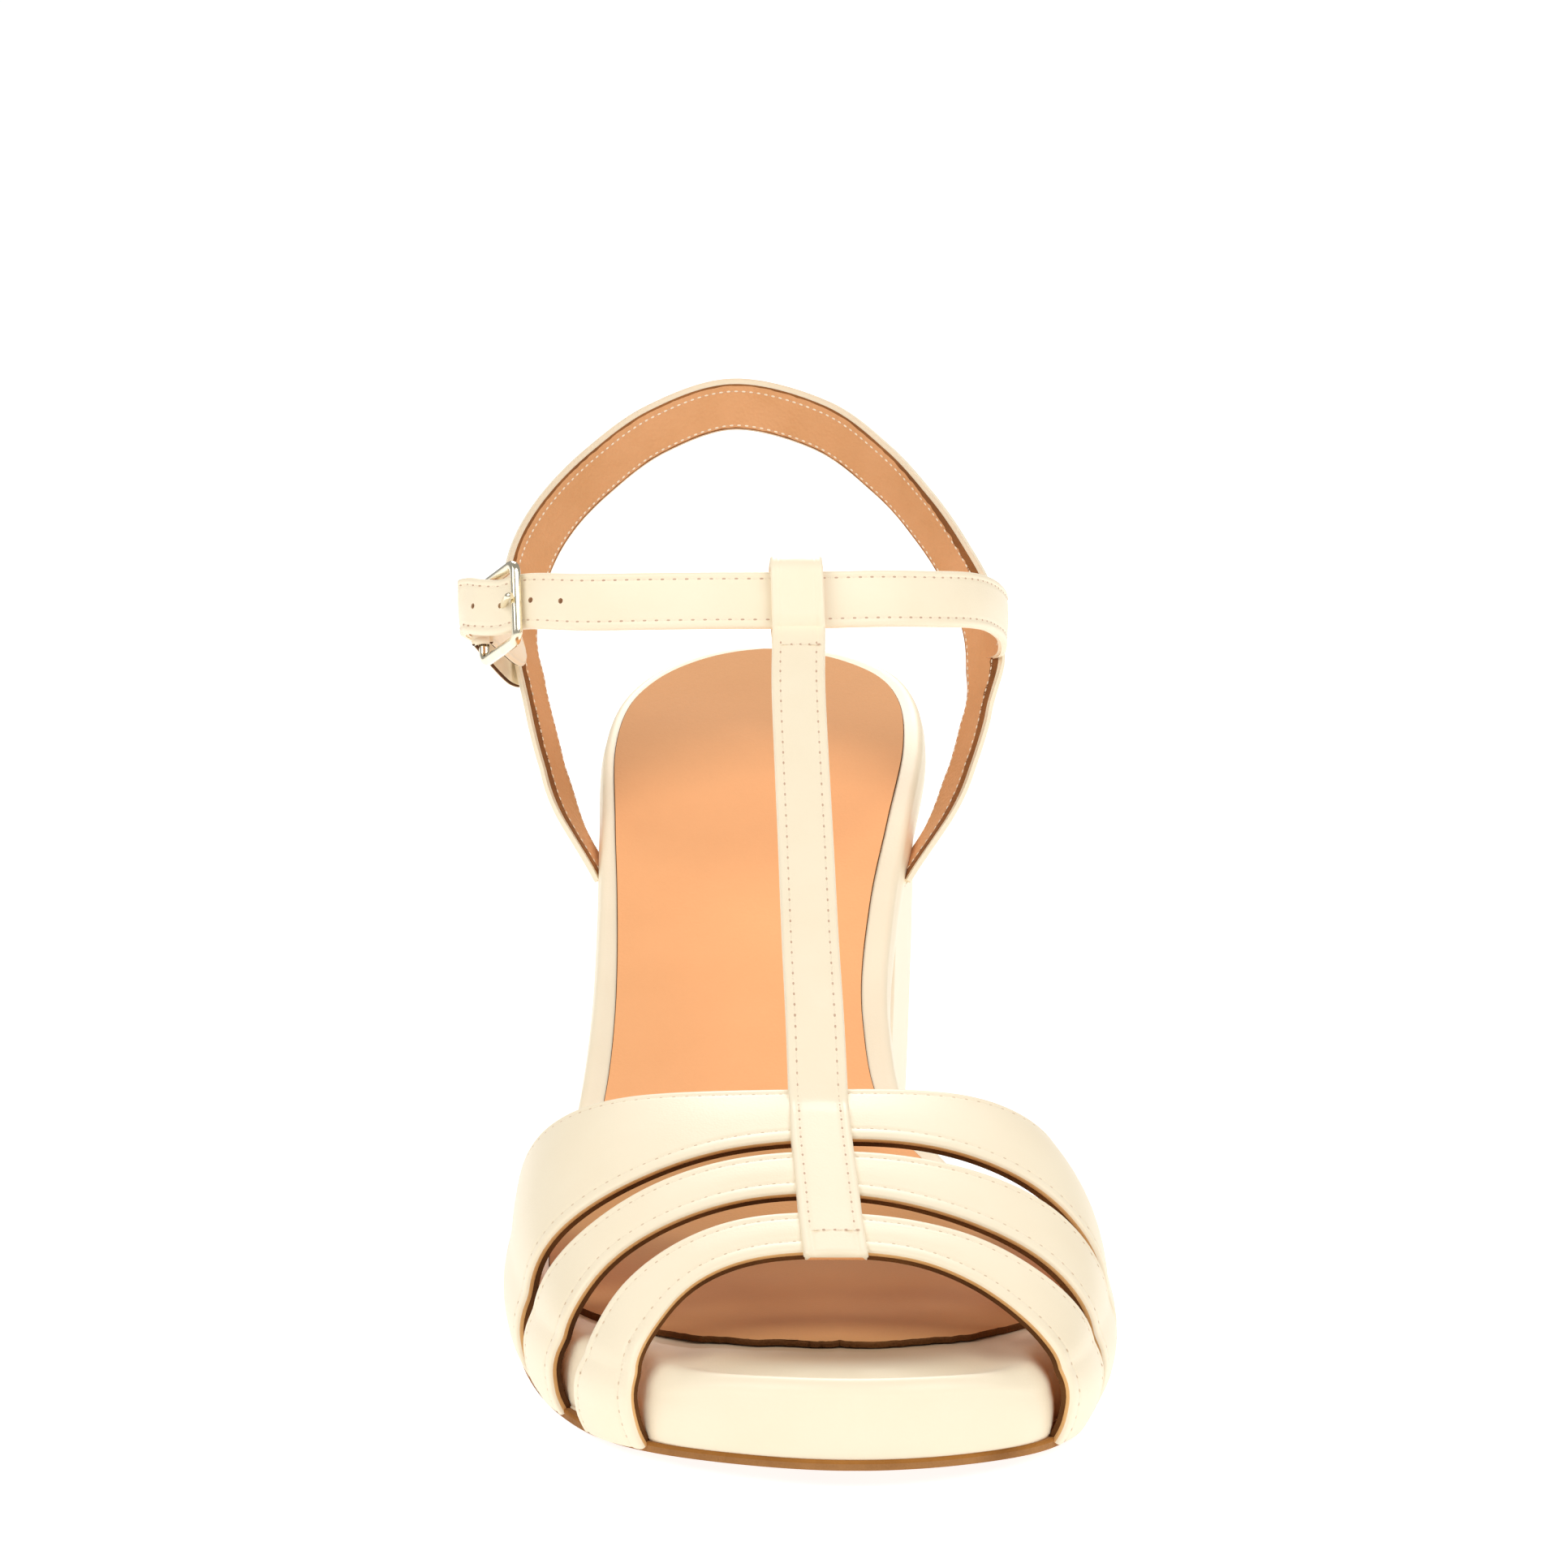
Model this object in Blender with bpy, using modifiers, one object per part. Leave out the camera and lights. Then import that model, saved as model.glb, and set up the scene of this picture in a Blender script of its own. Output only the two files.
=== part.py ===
"""Heeled T-strap sandal for the right foot: platform footbed, block heel, banded vamp, buckled ankle strap.

Frame: metres, +Z up, floor at Z = 0, toe towards -Y, inner (medial) side of the foot towards +X.
Tables are in millimetres, measured from the toe tip backwards (from_toe) and sideways from the shoe's
middle line (negative lateral, positive medial).
"""
import math
from bisect import bisect_right
from collections import namedtuple

import bmesh
import bpy
from mathutils import Matrix, Vector

MM = 0.001

# Driving sizes
SHOE_LENGTH = 223.0
CLEARANCE = 0.3
LAST_CLEARANCE = 0.5
BAND_WALL = 1.6
STRAP_WALL = 1.7
BAR_WALL = 1.6
ORIGIN = Vector((-4.28, 111.5, 0.0))
END_FLAT = 0.6
FOOTBED_ROLL = 1.8
SHARP_EDGE = 55
TANGENT_STEP = 0.004

# Footbed outline, seen from above
Outline = namedtuple("Outline", "from_toe lateral medial")
OUTLINE = (
    Outline(0, 9, 9),
    Outline(3, -4.5, 22),
    Outline(11, -17.5, 32.8),
    Outline(20, -25, 37.6),
    Outline(30, -29.8, 40.2),
    Outline(45, -34.4, 42.5),
    Outline(62, -36.9, 41.6),
    Outline(78, -37.1, 35.8),
    Outline(92, -34.8, 28.4),
    Outline(108, -32.2, 19.3),
    Outline(128, -30.4, 16),
    Outline(152, -30, 17.4),
    Outline(170, -30.3, 20.2),
    Outline(190, -30.4, 23),
    Outline(204, -27.7, 22),
    Outline(212, -23.4, 18.9),
    Outline(219, -16, 11.5),
    Outline(223, -3, -3),
)

# Side profile: height of the footbed's top, how thick footbed and outsole are under it, how far the
# outsole stands out, how deep the top is dished, and the rim that the sock leaves bare on each side
Profile = namedtuple("Profile", "from_toe top footbed outsole margin dish rim_lateral rim_medial")
PROFILE = (
    Profile(0, 14.4, 10.1, 1.2, -0.2, 0.0, 3.0, 3.5),
    Profile(18, 12.7, 10.4, 1.2, 0.1, 0.0, 3.0, 3.5),
    Profile(38, 12.0, 10.5, 1.2, 0.6, 0.0, 3.0, 3.5),
    Profile(78, 12.0, 10.5, 1.2, 1.2, 0.4, 3.5, 4.0),
    Profile(92, 15.2, 9.5, 1.3, 1.0, 0.8, 4.0, 4.2),
    Profile(110, 22.6, 8.1, 1.5, 0.0, 1.0, 4.0, 4.2),
    Profile(140, 38.6, 6.8, 2.0, -0.5, 1.0, 3.3, 4.2),
    Profile(170, 55.5, 6.6, 2.0, -0.5, 1.6, 2.3, 3.8),
    Profile(192, 66.0, 6.6, 2.0, -0.5, 2.2, 1.9, 3.4),
    Profile(207, 71.5, 6.6, 2.0, -0.5, 2.0, 1.8, 2.8),
    Profile(223, 76.8, 6.6, 2.0, -0.5, 0.2, 1.8, 2.6),
)

# Ridge of the last over the toes, up to the mouth of the vamp, and how square its sections are
Ridge = namedtuple("Ridge", "from_toe crown lateral_squareness medial_squareness")
RIDGE = (
    Ridge(0, 15.5, 2.0, 2.0),
    Ridge(10, 18.4, 2.1, 2.1),
    Ridge(22, 22.8, 2.3, 2.3),
    Ridge(34, 27.7, 2.4, 2.4),
    Ridge(46, 32.5, 2.55, 2.45),
    Ridge(58, 36.6, 2.7, 2.6),
    Ridge(75, 41, 2.7, 2.7),
    Ridge(95, 46, 2.7, 2.7),
)
SIDE_SHARE = 0.055
SHOULDER_DROP = 1.5

# Vamp bands: where each edge lies, from the lateral sole (round 0) over the ridge to the medial sole (round 1)
Edge = namedtuple("Edge", "round toe_front toe_back middle_front middle_back throat_front throat_back")
BAND_EDGES = (
    Edge(0.00, 9.8, 22.5, 29.5, 41.5, 46.0, 78.0),
    Edge(0.05, 11.0, 20.8, 27.6, 39.8, 44.5, 77.5),
    Edge(0.15, 12.2, 20.6, 27.0, 37.8, 43.0, 74.0),
    Edge(0.25, 15.8, 24.4, 30.0, 38.6, 42.6, 68.0),
    Edge(0.35, 21.1, 28.9, 33.2, 41.4, 44.0, 62.8),
    Edge(0.42, 23.9, 31.5, 35.3, 43.4, 46.0, 60.0),
    Edge(0.50, 24.7, 32.3, 36.6, 45.0, 47.8, 59.2),
    Edge(0.58, 24.0, 31.3, 34.8, 44.5, 48.2, 60.6),
    Edge(0.65, 21.2, 30.0, 32.9, 43.9, 47.5, 62.8),
    Edge(0.75, 16.7, 27.0, 30.6, 43.0, 46.0, 65.5),
    Edge(0.85, 13.3, 25.4, 28.4, 41.8, 44.2, 70.0),
    Edge(0.95, 12.6, 26.5, 28.8, 43.0, 45.5, 76.0),
    Edge(1.00, 10.2, 28.5, 30.8, 45.5, 48.0, 77.5),
)
BANDS = ("toe", "middle", "throat")

# T-bar: over the bands it follows the ridge, then it climbs free to its loop round the ankle strap
BAR_WIDTH = 8.5
BAR_SINK = 0.5
Climb = namedtuple("Climb", "from_toe side height")
BAR_OVER_BANDS = (
    Climb(22.6, 6.6, None),
    Climb(29, 6.0, None),
    Climb(35, 5.6, None),
    Climb(41, 5.2, None),
    Climb(47, 4.8, None),
    Climb(52, 4.6, None),
    Climb(57, 4.4, None),
)
BAR_FREE = (
    Climb(68, 4.0, 45.6),
    Climb(82, 3.4, 54.6),
    Climb(98, 2.8, 66.0),
    Climb(112, 2.2, 76.8),
    Climb(123, 1.8, 85.3),
    Climb(129, 1.6, 90.2),
    Climb(131.7, 1.6, 93.2),
    Climb(132.8, 1.6, 96.2),
)
LOOP_WALL = 1.6
LOOP_GAP = 0.9
LOOP_CORNER = 0.35

# Straps: centre line, lean of the strap about it, and how far the leather reaches above and below it
Strap = namedtuple("Strap", "side from_toe height lean above below")
HEEL_STRAP = (
    Strap(-31.6, 165.5, 48.3, -48, 4.4, 4.4),
    Strap(-35.2, 168.2, 55.6, -46, 4.4, 4.4),
    Strap(-38.2, 171.2, 63.5, -40, 4.4, 4.4),
    Strap(-40.4, 174.4, 71.3, -34, 4.4, 4.4),
    Strap(-42.4, 178.4, 79.2, -32, 4.4, 4.4),
    Strap(-44.0, 183.8, 87.4, -34, 4.4, 4.4),
    Strap(-42.9, 189.8, 95.2, -30, 4.4, 4.4),
    Strap(-39.0, 196.6, 102.2, -18, 4.4, 4.4),
    Strap(-32.2, 204.4, 108.8, -11, 4.4, 4.4),
    Strap(-22.2, 211.8, 115.4, -5, 4.4, 4.4),
    Strap(-8.9, 216.0, 119.2, -2, 4.4, 4.4),
    Strap(6.0, 211.8, 115.4, -5, 4.4, 4.4),
    Strap(16.0, 204.4, 108.8, -12, 4.4, 4.4),
    Strap(23.0, 196.6, 102.2, -16, 4.4, 4.4),
    Strap(28.3, 189.8, 95.2, -19, 4.4, 4.4),
    Strap(32.2, 183.8, 87.4, -22, 4.4, 4.4),
    Strap(33.6, 178.4, 79.2, -33, 4.4, 4.4),
    Strap(31.7, 174.4, 71.3, -46, 4.4, 4.4),
    Strap(29.0, 171.2, 63.5, -52, 4.4, 4.4),
    Strap(25.2, 168.2, 55.6, -56, 4.4, 4.4),
    Strap(20.7, 165.5, 48.3, -56, 4.4, 4.4),
)
ANKLE_STRAP = (
    Strap(32.6, 184.0, 86.0, -11, 4.5, 6.5),
    Strap(35.2, 175, 87.4, -4, 4.5, 5.4),
    Strap(34.7, 166, 90.2, 4, 4.5, 4.5),
    Strap(32.4, 158, 92.9, 9, 4.5, 4.5),
    Strap(29.0, 151, 94.7, 14, 4.5, 4.5),
    Strap(23.0, 144, 95.9, 18, 4.5, 4.5),
    Strap(14.0, 138.2, 96.8, 20, 4.5, 4.5),
    Strap(1.6, 135, 97.0, 20, 4.5, 4.5),
    Strap(-10.5, 135.4, 96.9, 20, 4.5, 4.5),
    Strap(-22.0, 138, 96.4, 17, 4.5, 4.5),
    Strap(-31.5, 142, 95.7, 13, 4.5, 4.5),
)
STRAP_HALF_WIDTH = 4.5
PUNCH_HOLE = 1.8
PUNCH_PITCH = 5.5
PUNCHES_EACH_WAY = 2

# Buckle: a wire frame whose rear bar is held by a folded leather tab
BUCKLE_FRONT_BAR = Vector((-42.6, 147.5, 95.0))
BUCKLE_REAR_BAR = Vector((-48.6, 159.5, 89.4))
BUCKLE_RISE = Vector((-0.04, 0.39, 0.92))
BUCKLE_HEIGHT = 14.0
BUCKLE_WIRE = 1.6
BUCKLE_CORNER = 1.6
PRONG_WIRE = 1.0
PRONG_CROSSING = -9.6
PRONG_RISE = 0.4
PRONG_DIP = (-4.0, -1.0)
PRONG_OVERHANG = (1.6, 0.2)
PRONG_EYE_TURN = (120, -24, 10)
TAB_WALL = 0.8
TAB_WIDTH = 7.0
TAB_LENGTH = 24.0
TAB_INNER_LENGTH = 18.0
TAB_TURN = 39.5
TAB_RISE = 2.0
TAB_SPREAD = 5 * CLEARANCE
TAB_FLAT_FROM = 0.7
TAB_OPENS_FROM = 0.35
PRONG_SLOT = 2.8
PRONG_SLOT_LENGTH = 8.0
PRONG_SLOT_AHEAD = 1.0

# Ankle strap through the buckle, from its front bar (share -1) to its rear bar (share 0), and its tail
# past the tab: rise along the bars and distance out of the frame
Threading = namedtuple("Threading", "share rise out")
THROUGH_BUCKLE = (
    Threading(-1.0, 0.2, -2.2),
    Threading(-0.62, 0.5, 0.6),
    Threading(-0.32, 1.6, 2.5),
    Threading(-0.07, 2.8, 3.35),
    Threading(0.11, 3.1, 3.05),
)
Tail = namedtuple("Tail", "along rise out")
TAIL = (
    Tail(5.0, 3.6, 3.7),
    Tail(12.0, 4.2, 4.3),
    Tail(21.0, 5.2, 4.6),
    Tail(30.0, 6.0, 4.6),
)

# Heel: its top fits the seat, its foot is a little smaller
HEEL_BREAST_TOP = 166.0
HEEL_BREAST_FOOT = 169.0
HEEL_BACK_TOP = 221.5
HEEL_BACK_FOOT = 215.0
HEEL_INSET = 1.5
HEEL_BACK_FLAT = 1.5
HEEL_FOOT_SCALE = 0.95
TOP_PIECE = 5.0

SOCK_WALL = 1.0
SOCK_GLUE = 0.45
SOCK_FRONT = 21.5
SOCK_BACK = 2.2
SOCK_TOE = 26.0
SOCK_TIP = 0.12
SOCK_SQUARENESS = 2.2


def blend(rows, column, at):
    """Value of a table's column at a place between rows: a smooth curve, flat between equal rows."""
    places = [row[0] for row in rows]
    values = [getattr(row, column) for row in rows]
    rises = [(v1 - v0) / (p1 - p0) for p0, p1, v0, v1 in zip(places, places[1:], values, values[1:])]

    def slope(i):
        if i == 0 or i == len(rows) - 1:
            return rises[min(i, len(rises) - 1)]
        if rises[i - 1] == 0 or rises[i] == 0:
            return 0.0
        before = places[i] - places[i - 1]
        after = places[i + 1] - places[i]
        return (rises[i - 1] * after + rises[i] * before) / (before + after)

    at = min(max(at, places[0]), places[-1])
    i = min(bisect_right(places, at) - 1, len(rows) - 2)
    span = places[i + 1] - places[i]
    t = (at - places[i]) / span
    return (
        (2 * t**3 - 3 * t**2 + 1) * values[i]
        + (t**3 - 2 * t**2 + t) * span * slope(i)
        + (3 * t**2 - 2 * t**3) * values[i + 1]
        + (t**3 - t**2) * span * slope(i + 1)
    )


def through(points, t):
    """Point of a Catmull-Rom curve through a list of vectors, t from 0 to 1."""
    place = t * (len(points) - 1)
    i = min(int(place), len(points) - 2)
    t = place - i
    p1, p2 = points[i], points[i + 1]
    p0 = points[i - 1] if i > 0 else p1 * 2 - p2
    p3 = points[i + 2] if i + 2 < len(points) else p2 * 2 - p1
    return 0.5 * (
        2 * p1 + (p2 - p0) * t + (2 * p0 - 5 * p1 + 4 * p2 - p3) * t**2 + (3 * p1 - p0 - 3 * p2 + p3) * t**3
    )


def turn(from_toe, length=SHOE_LENGTH):
    """Half-turn coordinate along the shoe, which makes the rounded ends smooth."""
    return math.acos(max(-1.0, min(1.0, 1 - 2 * from_toe / length)))


OUTLINE_BY_TURN = [row._replace(from_toe=turn(row.from_toe)) for row in OUTLINE]


def footbed_edges(y):
    """Lateral and medial edge of the footbed."""
    return blend(OUTLINE_BY_TURN, "lateral", turn(y)), blend(OUTLINE_BY_TURN, "medial", turn(y))


def footbed_top(x, y):
    """Height of the footbed's upper face, dished towards the middle."""
    lateral, medial = footbed_edges(y)
    half = max((medial - lateral) / 2, 0.1)
    across = min(abs(x - (lateral + medial) / 2) / half, 1.0)
    return blend(PROFILE, "top", y) - blend(PROFILE, "dish", y) * (1 - across**2)


def footbed_bottom(y):
    """Height of the footbed's lower face."""
    return blend(PROFILE, "top", y) - blend(PROFILE, "footbed", y)


def last_section(y):
    """Cross-section of the last over the toes: centre, half width, springing height and rise."""
    lateral, medial = footbed_edges(y)
    spring = blend(PROFILE, "top", y) - SHOULDER_DROP
    rise = blend(RIDGE, "crown", y) - spring
    half = (medial - lateral) / 2 + LAST_CLEARANCE
    return (lateral + medial) / 2, half, spring, rise


def squareness_at(y, medial):
    """How square the last's section is on its lateral or its medial side."""
    return blend(RIDGE, "medial_squareness" if medial else "lateral_squareness", y)


def last_point(y, around):
    """Point of the last: around runs from the lateral sole (0) over the ridge to the medial sole (1)."""
    centre, half, spring, rise = last_section(y)
    squareness = squareness_at(y, around > 0.5)
    side = min(around, 1 - around) / SIDE_SHARE
    if side < 1:
        foot = footbed_bottom(y)
        return Vector((centre + math.copysign(half, around - 0.5), y, foot + (spring - foot) * side))
    angle = math.pi * (around - SIDE_SHARE) / (1 - 2 * SIDE_SHARE)
    cosine = math.cos(angle)
    across = math.copysign(abs(cosine) ** (2 / squareness), cosine)
    up = max(math.sin(angle), 0.0) ** (2 / squareness)
    return Vector((centre - half * across, y, spring + rise * up))


def last_height(x, y):
    """Height of the last above a point of the plan."""
    centre, half, spring, rise = last_section(y)
    squareness = squareness_at(y, x > centre)
    return spring + rise * (1 - abs((x - centre) / half) ** squareness) ** (1 / squareness)


def material(name, colour, roughness, metallic=0.0):
    """Principled material in one plain colour."""
    made = bpy.data.materials.new(name)
    made.use_nodes = True
    shader = made.node_tree.nodes["Principled BSDF"]
    shader.inputs["Base Color"].default_value = (*colour, 1.0)
    shader.inputs["Roughness"].default_value = roughness
    shader.inputs["Metallic"].default_value = metallic
    return made


def add_object(name, data, finish, collection, parent=None):
    """Object in a collection, parented to the shoe's origin empty."""
    made = bpy.data.objects.new(name, data)
    if finish:
        data.materials.append(finish)
    made.parent = parent
    collection.objects.link(made)
    if collection.name == "cutters":
        made.hide_render = True
        made.display_type = "WIRE"
    return made


def grid(across, along):
    """Flat grid over the unit square."""
    made = bmesh.new()
    bmesh.ops.create_grid(made, x_segments=across, y_segments=along, size=0.5)
    bmesh.ops.translate(made, verts=made.verts, vec=(0.5, 0.5, 0))
    return made


def face_outwards(built):
    """Turns the faces of a moved bmesh outwards."""
    built.normal_update()
    bmesh.ops.recalc_face_normals(built, faces=built.faces)


def to_mesh(name, built):
    """Mesh data from a bmesh laid out in millimetres."""
    bmesh.ops.scale(built, verts=built.verts, vec=(MM, MM, MM))
    data = bpy.data.meshes.new(name)
    built.to_mesh(data)
    built.free()
    return data


def sheet(name, across, along, place):
    """Open sheet: a grid laid where place(u, v) says."""
    built = grid(across, along)
    for vert in built.verts:
        vert.co = place(vert.co.x, vert.co.y)
    return to_mesh(name, built)


def solid(name, across, along, low, high):
    """Closed solid between two sheets, low(u, v) and high(u, v)."""
    built = grid(across, along)
    raised = bmesh.ops.extrude_face_region(built, geom=built.faces[:])["geom"]
    raised = {item for item in raised if isinstance(item, bmesh.types.BMVert)}
    for vert in built.verts:
        vert.co = (high if vert in raised else low)(vert.co.x, vert.co.y)
    face_outwards(built)
    return to_mesh(name, built)


def thicken(made, wall, side):
    """Gives a sheet its wall: side 1 grows along its normals, -1 against them, 0 both ways."""
    modifier = made.modifiers.new("wall", "SOLIDIFY")
    modifier.thickness = wall * MM
    modifier.offset = side
    modifier.use_even_offset = True


def round_edges(made, radius, segments):
    """Rounds the sharp edges of a piece."""
    modifier = made.modifiers.new("rounded", "BEVEL")
    modifier.width = radius * MM
    modifier.segments = segments
    modifier.limit_method = "ANGLE"
    modifier.angle_limit = math.radians(SHARP_EDGE)


def join(made, other, operation="UNION"):
    """Boolean of a piece with a hidden one."""
    modifier = made.modifiers.new(other.name, "BOOLEAN")
    modifier.operation = operation
    modifier.object = other
    modifier.solver = "EXACT"


def along_shoe(v, first, last):
    """Place along the shoe, closer together at the rounded ends."""
    start, end = turn(first), turn(last)
    return SHOE_LENGTH / 2 * (1 - math.cos(start + (end - start) * v))


def plan_point(u, y, margin=0.0):
    """Point of the footbed's plan, u from the lateral edge (0) to the medial edge (1), widened by a margin."""
    lateral, medial = footbed_edges(y)
    return (lateral - margin) * (1 - u) + (medial + margin) * u


def build_footbed(finish, collection, origin):
    """Platform board with toe spring, arch and dished heel seat."""
    def low(u, v):
        y = along_shoe(v, END_FLAT, SHOE_LENGTH - END_FLAT)
        return Vector((plan_point(u, y), y, footbed_bottom(y)))

    def high(u, v):
        y = along_shoe(v, END_FLAT, SHOE_LENGTH - END_FLAT)
        x = plan_point(u, y)
        return Vector((x, y, footbed_top(x, y)))

    made = add_object("footbed", solid("footbed", 8, 36, low, high), finish, collection, origin)
    round_edges(made, FOOTBED_ROLL, 2)


def build_outsole(finish, collection, origin):
    """Thin sole from the toe to the heel's breast, flat on the floor under the ball."""
    def layer(drop):
        def place(u, v):
            y = along_shoe(v, END_FLAT, HEEL_BREAST_TOP - CLEARANCE)
            x = plan_point(u, y, blend(PROFILE, "margin", y))
            height = footbed_bottom(y) - CLEARANCE - drop * blend(PROFILE, "outsole", y)
            return Vector((x, y, height))
        return place

    data = solid("outsole", 6, 34, layer(1.0), layer(0.0))
    add_object("outsole", data, finish, collection, origin)


def sock_edges(v):
    """Place along the sock and its two edges: inside the footbed's rim, rounded at the toe."""
    y = along_shoe(v, SOCK_FRONT, SHOE_LENGTH - SOCK_BACK)
    heelward = min(y + SOCK_BACK * max(y / SHOE_LENGTH, 0) ** 6, SHOE_LENGTH)
    lateral, medial = footbed_edges(heelward)
    middle = (lateral + medial) / 2
    lateral = min(lateral + blend(PROFILE, "rim_lateral", y), middle - 1)
    medial = max(medial - blend(PROFILE, "rim_medial", y), middle + 1)
    reach = min((y - SOCK_FRONT) / SOCK_TOE, 1.0)
    opened = SOCK_TIP + (1 - SOCK_TIP) * (1 - (1 - reach) ** SOCK_SQUARENESS) ** (1 / SOCK_SQUARENESS)
    return y, middle + (lateral - middle) * opened, middle + (medial - middle) * opened


def build_sock(finish, collection, origin):
    """Leather cover glued on the footbed, cut off behind the toe edge."""
    def layer(lift):
        def place(u, v):
            y, lateral, medial = sock_edges(v)
            x = lateral + (medial - lateral) * u
            return Vector((x, y, footbed_top(x, y) + lift))
        return place

    data = solid("sock", 8, 34, layer(SOCK_GLUE), layer(SOCK_GLUE + SOCK_WALL))
    add_object("sock", data, finish, collection, origin)


def heel_plan(u, v, breast, back, scale):
    """Plan of the heel: the seat's outline, drawn in and scaled about its middle."""
    swing = math.sin(v * math.pi / 2)
    top_y = HEEL_BREAST_TOP + (HEEL_BACK_TOP - HEEL_BREAST_TOP) * swing
    lateral, medial = footbed_edges(min(top_y + HEEL_INSET * swing, SHOE_LENGTH - END_FLAT))
    middle = (lateral + medial) / 2
    half = max((medial - lateral) / 2 - HEEL_INSET, HEEL_BACK_FLAT) * scale
    return middle + half * (2 * u - 1), breast + (back - breast) * swing


def build_heel(covering, rubber, collection, origin):
    """Covered block heel and the wearing lift under it."""
    def foot(height):
        def place(u, v):
            x, y = heel_plan(u, v, HEEL_BREAST_FOOT, HEEL_BACK_FOOT, HEEL_FOOT_SCALE)
            return Vector((x, y, height))
        return place

    def seat(u, v):
        x, y = heel_plan(u, v, HEEL_BREAST_TOP, HEEL_BACK_TOP, 1.0)
        return Vector((x, y, footbed_bottom(y) - CLEARANCE))

    block = solid("heel_block", 8, 14, foot(TOP_PIECE + CLEARANCE), seat)
    add_object("heel_block", block, covering, collection, origin)
    lift = solid("heel_top_piece", 8, 14, foot(0.0), foot(TOP_PIECE))
    add_object("heel_top_piece", lift, rubber, collection, origin)


def build_band(name, finish, collection, origin):
    """One crescent band wrapped over the last, from sole to sole."""
    def place(u, v):
        front = blend(BAND_EDGES, name + "_front", u)
        back = blend(BAND_EDGES, name + "_back", u)
        return last_point(front + (back - front) * v, u)

    made = add_object(name + "_band", sheet(name + "_band", 40, 4, place), finish, collection, origin)
    thicken(made, BAND_WALL, 1)
    return made


def bar_path():
    """Centre line of the T-bar's inner face."""
    lift = BAND_WALL - BAR_SINK
    rows = [Vector((r.side, r.from_toe, last_height(r.side, r.from_toe) + lift)) for r in BAR_OVER_BANDS]
    return rows + [Vector((r.side, r.from_toe, r.height)) for r in BAR_FREE]


def build_bar(finish, collection, origin):
    """T-bar strap from the toe band up to the ankle."""
    path = bar_path()

    def place(u, v):
        middle = through(path, v)
        return middle + Vector(((u - 0.5) * BAR_WIDTH, 0, 0))

    made = add_object("bar", sheet("bar", 2, 48, place), finish, collection, origin)
    thicken(made, BAR_WALL, 1)
    return made


def lean_towards(ahead, direction):
    """Lean that turns a strap's width from upright to a direction."""
    upright = Vector((0, 0, 1)) - ahead * ahead.z
    return math.degrees(math.atan2(direction.dot(ahead.cross(upright)), direction.dot(upright)))


def strap_frame(rows, t):
    """Point, strap direction, width direction and half widths of a strap at t from 0 to 1."""
    centres = [Vector((row.side, row.from_toe, row.height)) for row in rows]
    sizes = [Vector((row.lean, row.above, row.below)) for row in rows]
    point = through(centres, t)
    ahead = through(centres, min(t + TANGENT_STEP, 1.0)) - through(centres, max(t - TANGENT_STEP, 0.0))
    ahead.normalize()
    lean, above, below = through(sizes, t)
    upright = (Vector((0, 0, 1)) - ahead * ahead.z).normalized()
    width = Matrix.Rotation(math.radians(lean), 3, ahead) @ upright
    return point, ahead, width, above, below


def strap_sheet(name, rows, along):
    """Sheet of a strap, u along it and v from its lower to its upper edge."""
    def place(u, v):
        point, _, width, above, below = strap_frame(rows, u)
        return point + width * (v * (above + below) - below)

    return sheet(name, along, 2, place)


def loop_place(u, v):
    """Loop of the T-bar round the ankle strap: u along the ankle strap, v once round it."""
    strap = nearest_to_bar()
    point, ahead, width, above, _ = strap_frame(ankle_rows(), strap)
    outward = width.cross(ahead)
    half_height = above + LOOP_GAP
    half_depth = STRAP_WALL / 2 + LOOP_GAP
    angle = 2 * math.pi * v
    up = math.copysign(abs(math.sin(angle)) ** LOOP_CORNER, math.sin(angle)) * half_height
    out = math.copysign(abs(math.cos(angle)) ** LOOP_CORNER, math.cos(angle)) * half_depth
    return point + ahead * ((u - 0.5) * BAR_WIDTH) + width * up + outward * out


def nearest_to_bar():
    """Place along the ankle strap where the T-bar's loop holds it."""
    rows = ankle_rows()
    front = min(rows, key=lambda row: row.from_toe)
    return rows.index(front) / (len(rows) - 1)


def build_loop(finish, collection, origin):
    """Closed loop at the top of the T-bar."""
    built = grid(2, 28)
    for vert in built.verts:
        vert.co = loop_place(vert.co.x, vert.co.y)
    bmesh.ops.remove_doubles(built, verts=built.verts, dist=0.02)
    face_outwards(built)
    made = add_object("bar_loop", to_mesh("bar_loop", built), finish, collection, origin)
    thicken(made, LOOP_WALL, 1)
    return made


def build_vamp(finish, collection, cutters, origin):
    """Upper over the toes: three bands joined by the T-bar and its loop."""
    upper = build_bar(finish, collection, origin)
    upper.name = "vamp_upper"
    pieces = [build_band(name, finish, cutters, origin) for name in BANDS]
    pieces.append(build_loop(finish, cutters, origin))
    for piece in pieces:
        join(upper, piece)


def buckle_axes():
    """Directions of the buckle: from front bar to rear bar, up the bars, and outwards."""
    back = (BUCKLE_REAR_BAR - BUCKLE_FRONT_BAR).normalized()
    rise = (BUCKLE_RISE - back * BUCKLE_RISE.dot(back)).normalized()
    return back, rise, rise.cross(back)


def buckle_point(back, rise, out):
    """Point in the buckle's own directions, measured from the rear bar."""
    axes = buckle_axes()
    return BUCKLE_REAR_BAR + axes[0] * back + axes[1] * rise + axes[2] * out


def tab_point(along, rise, out):
    """Point in the directions of the buckle's tab, which turns from the rear bar towards the heel strap."""
    turned = math.radians(TAB_TURN)
    back = along * math.cos(turned) + out * math.sin(turned)
    return buckle_point(back, rise, out * math.cos(turned) - along * math.sin(turned))


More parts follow.
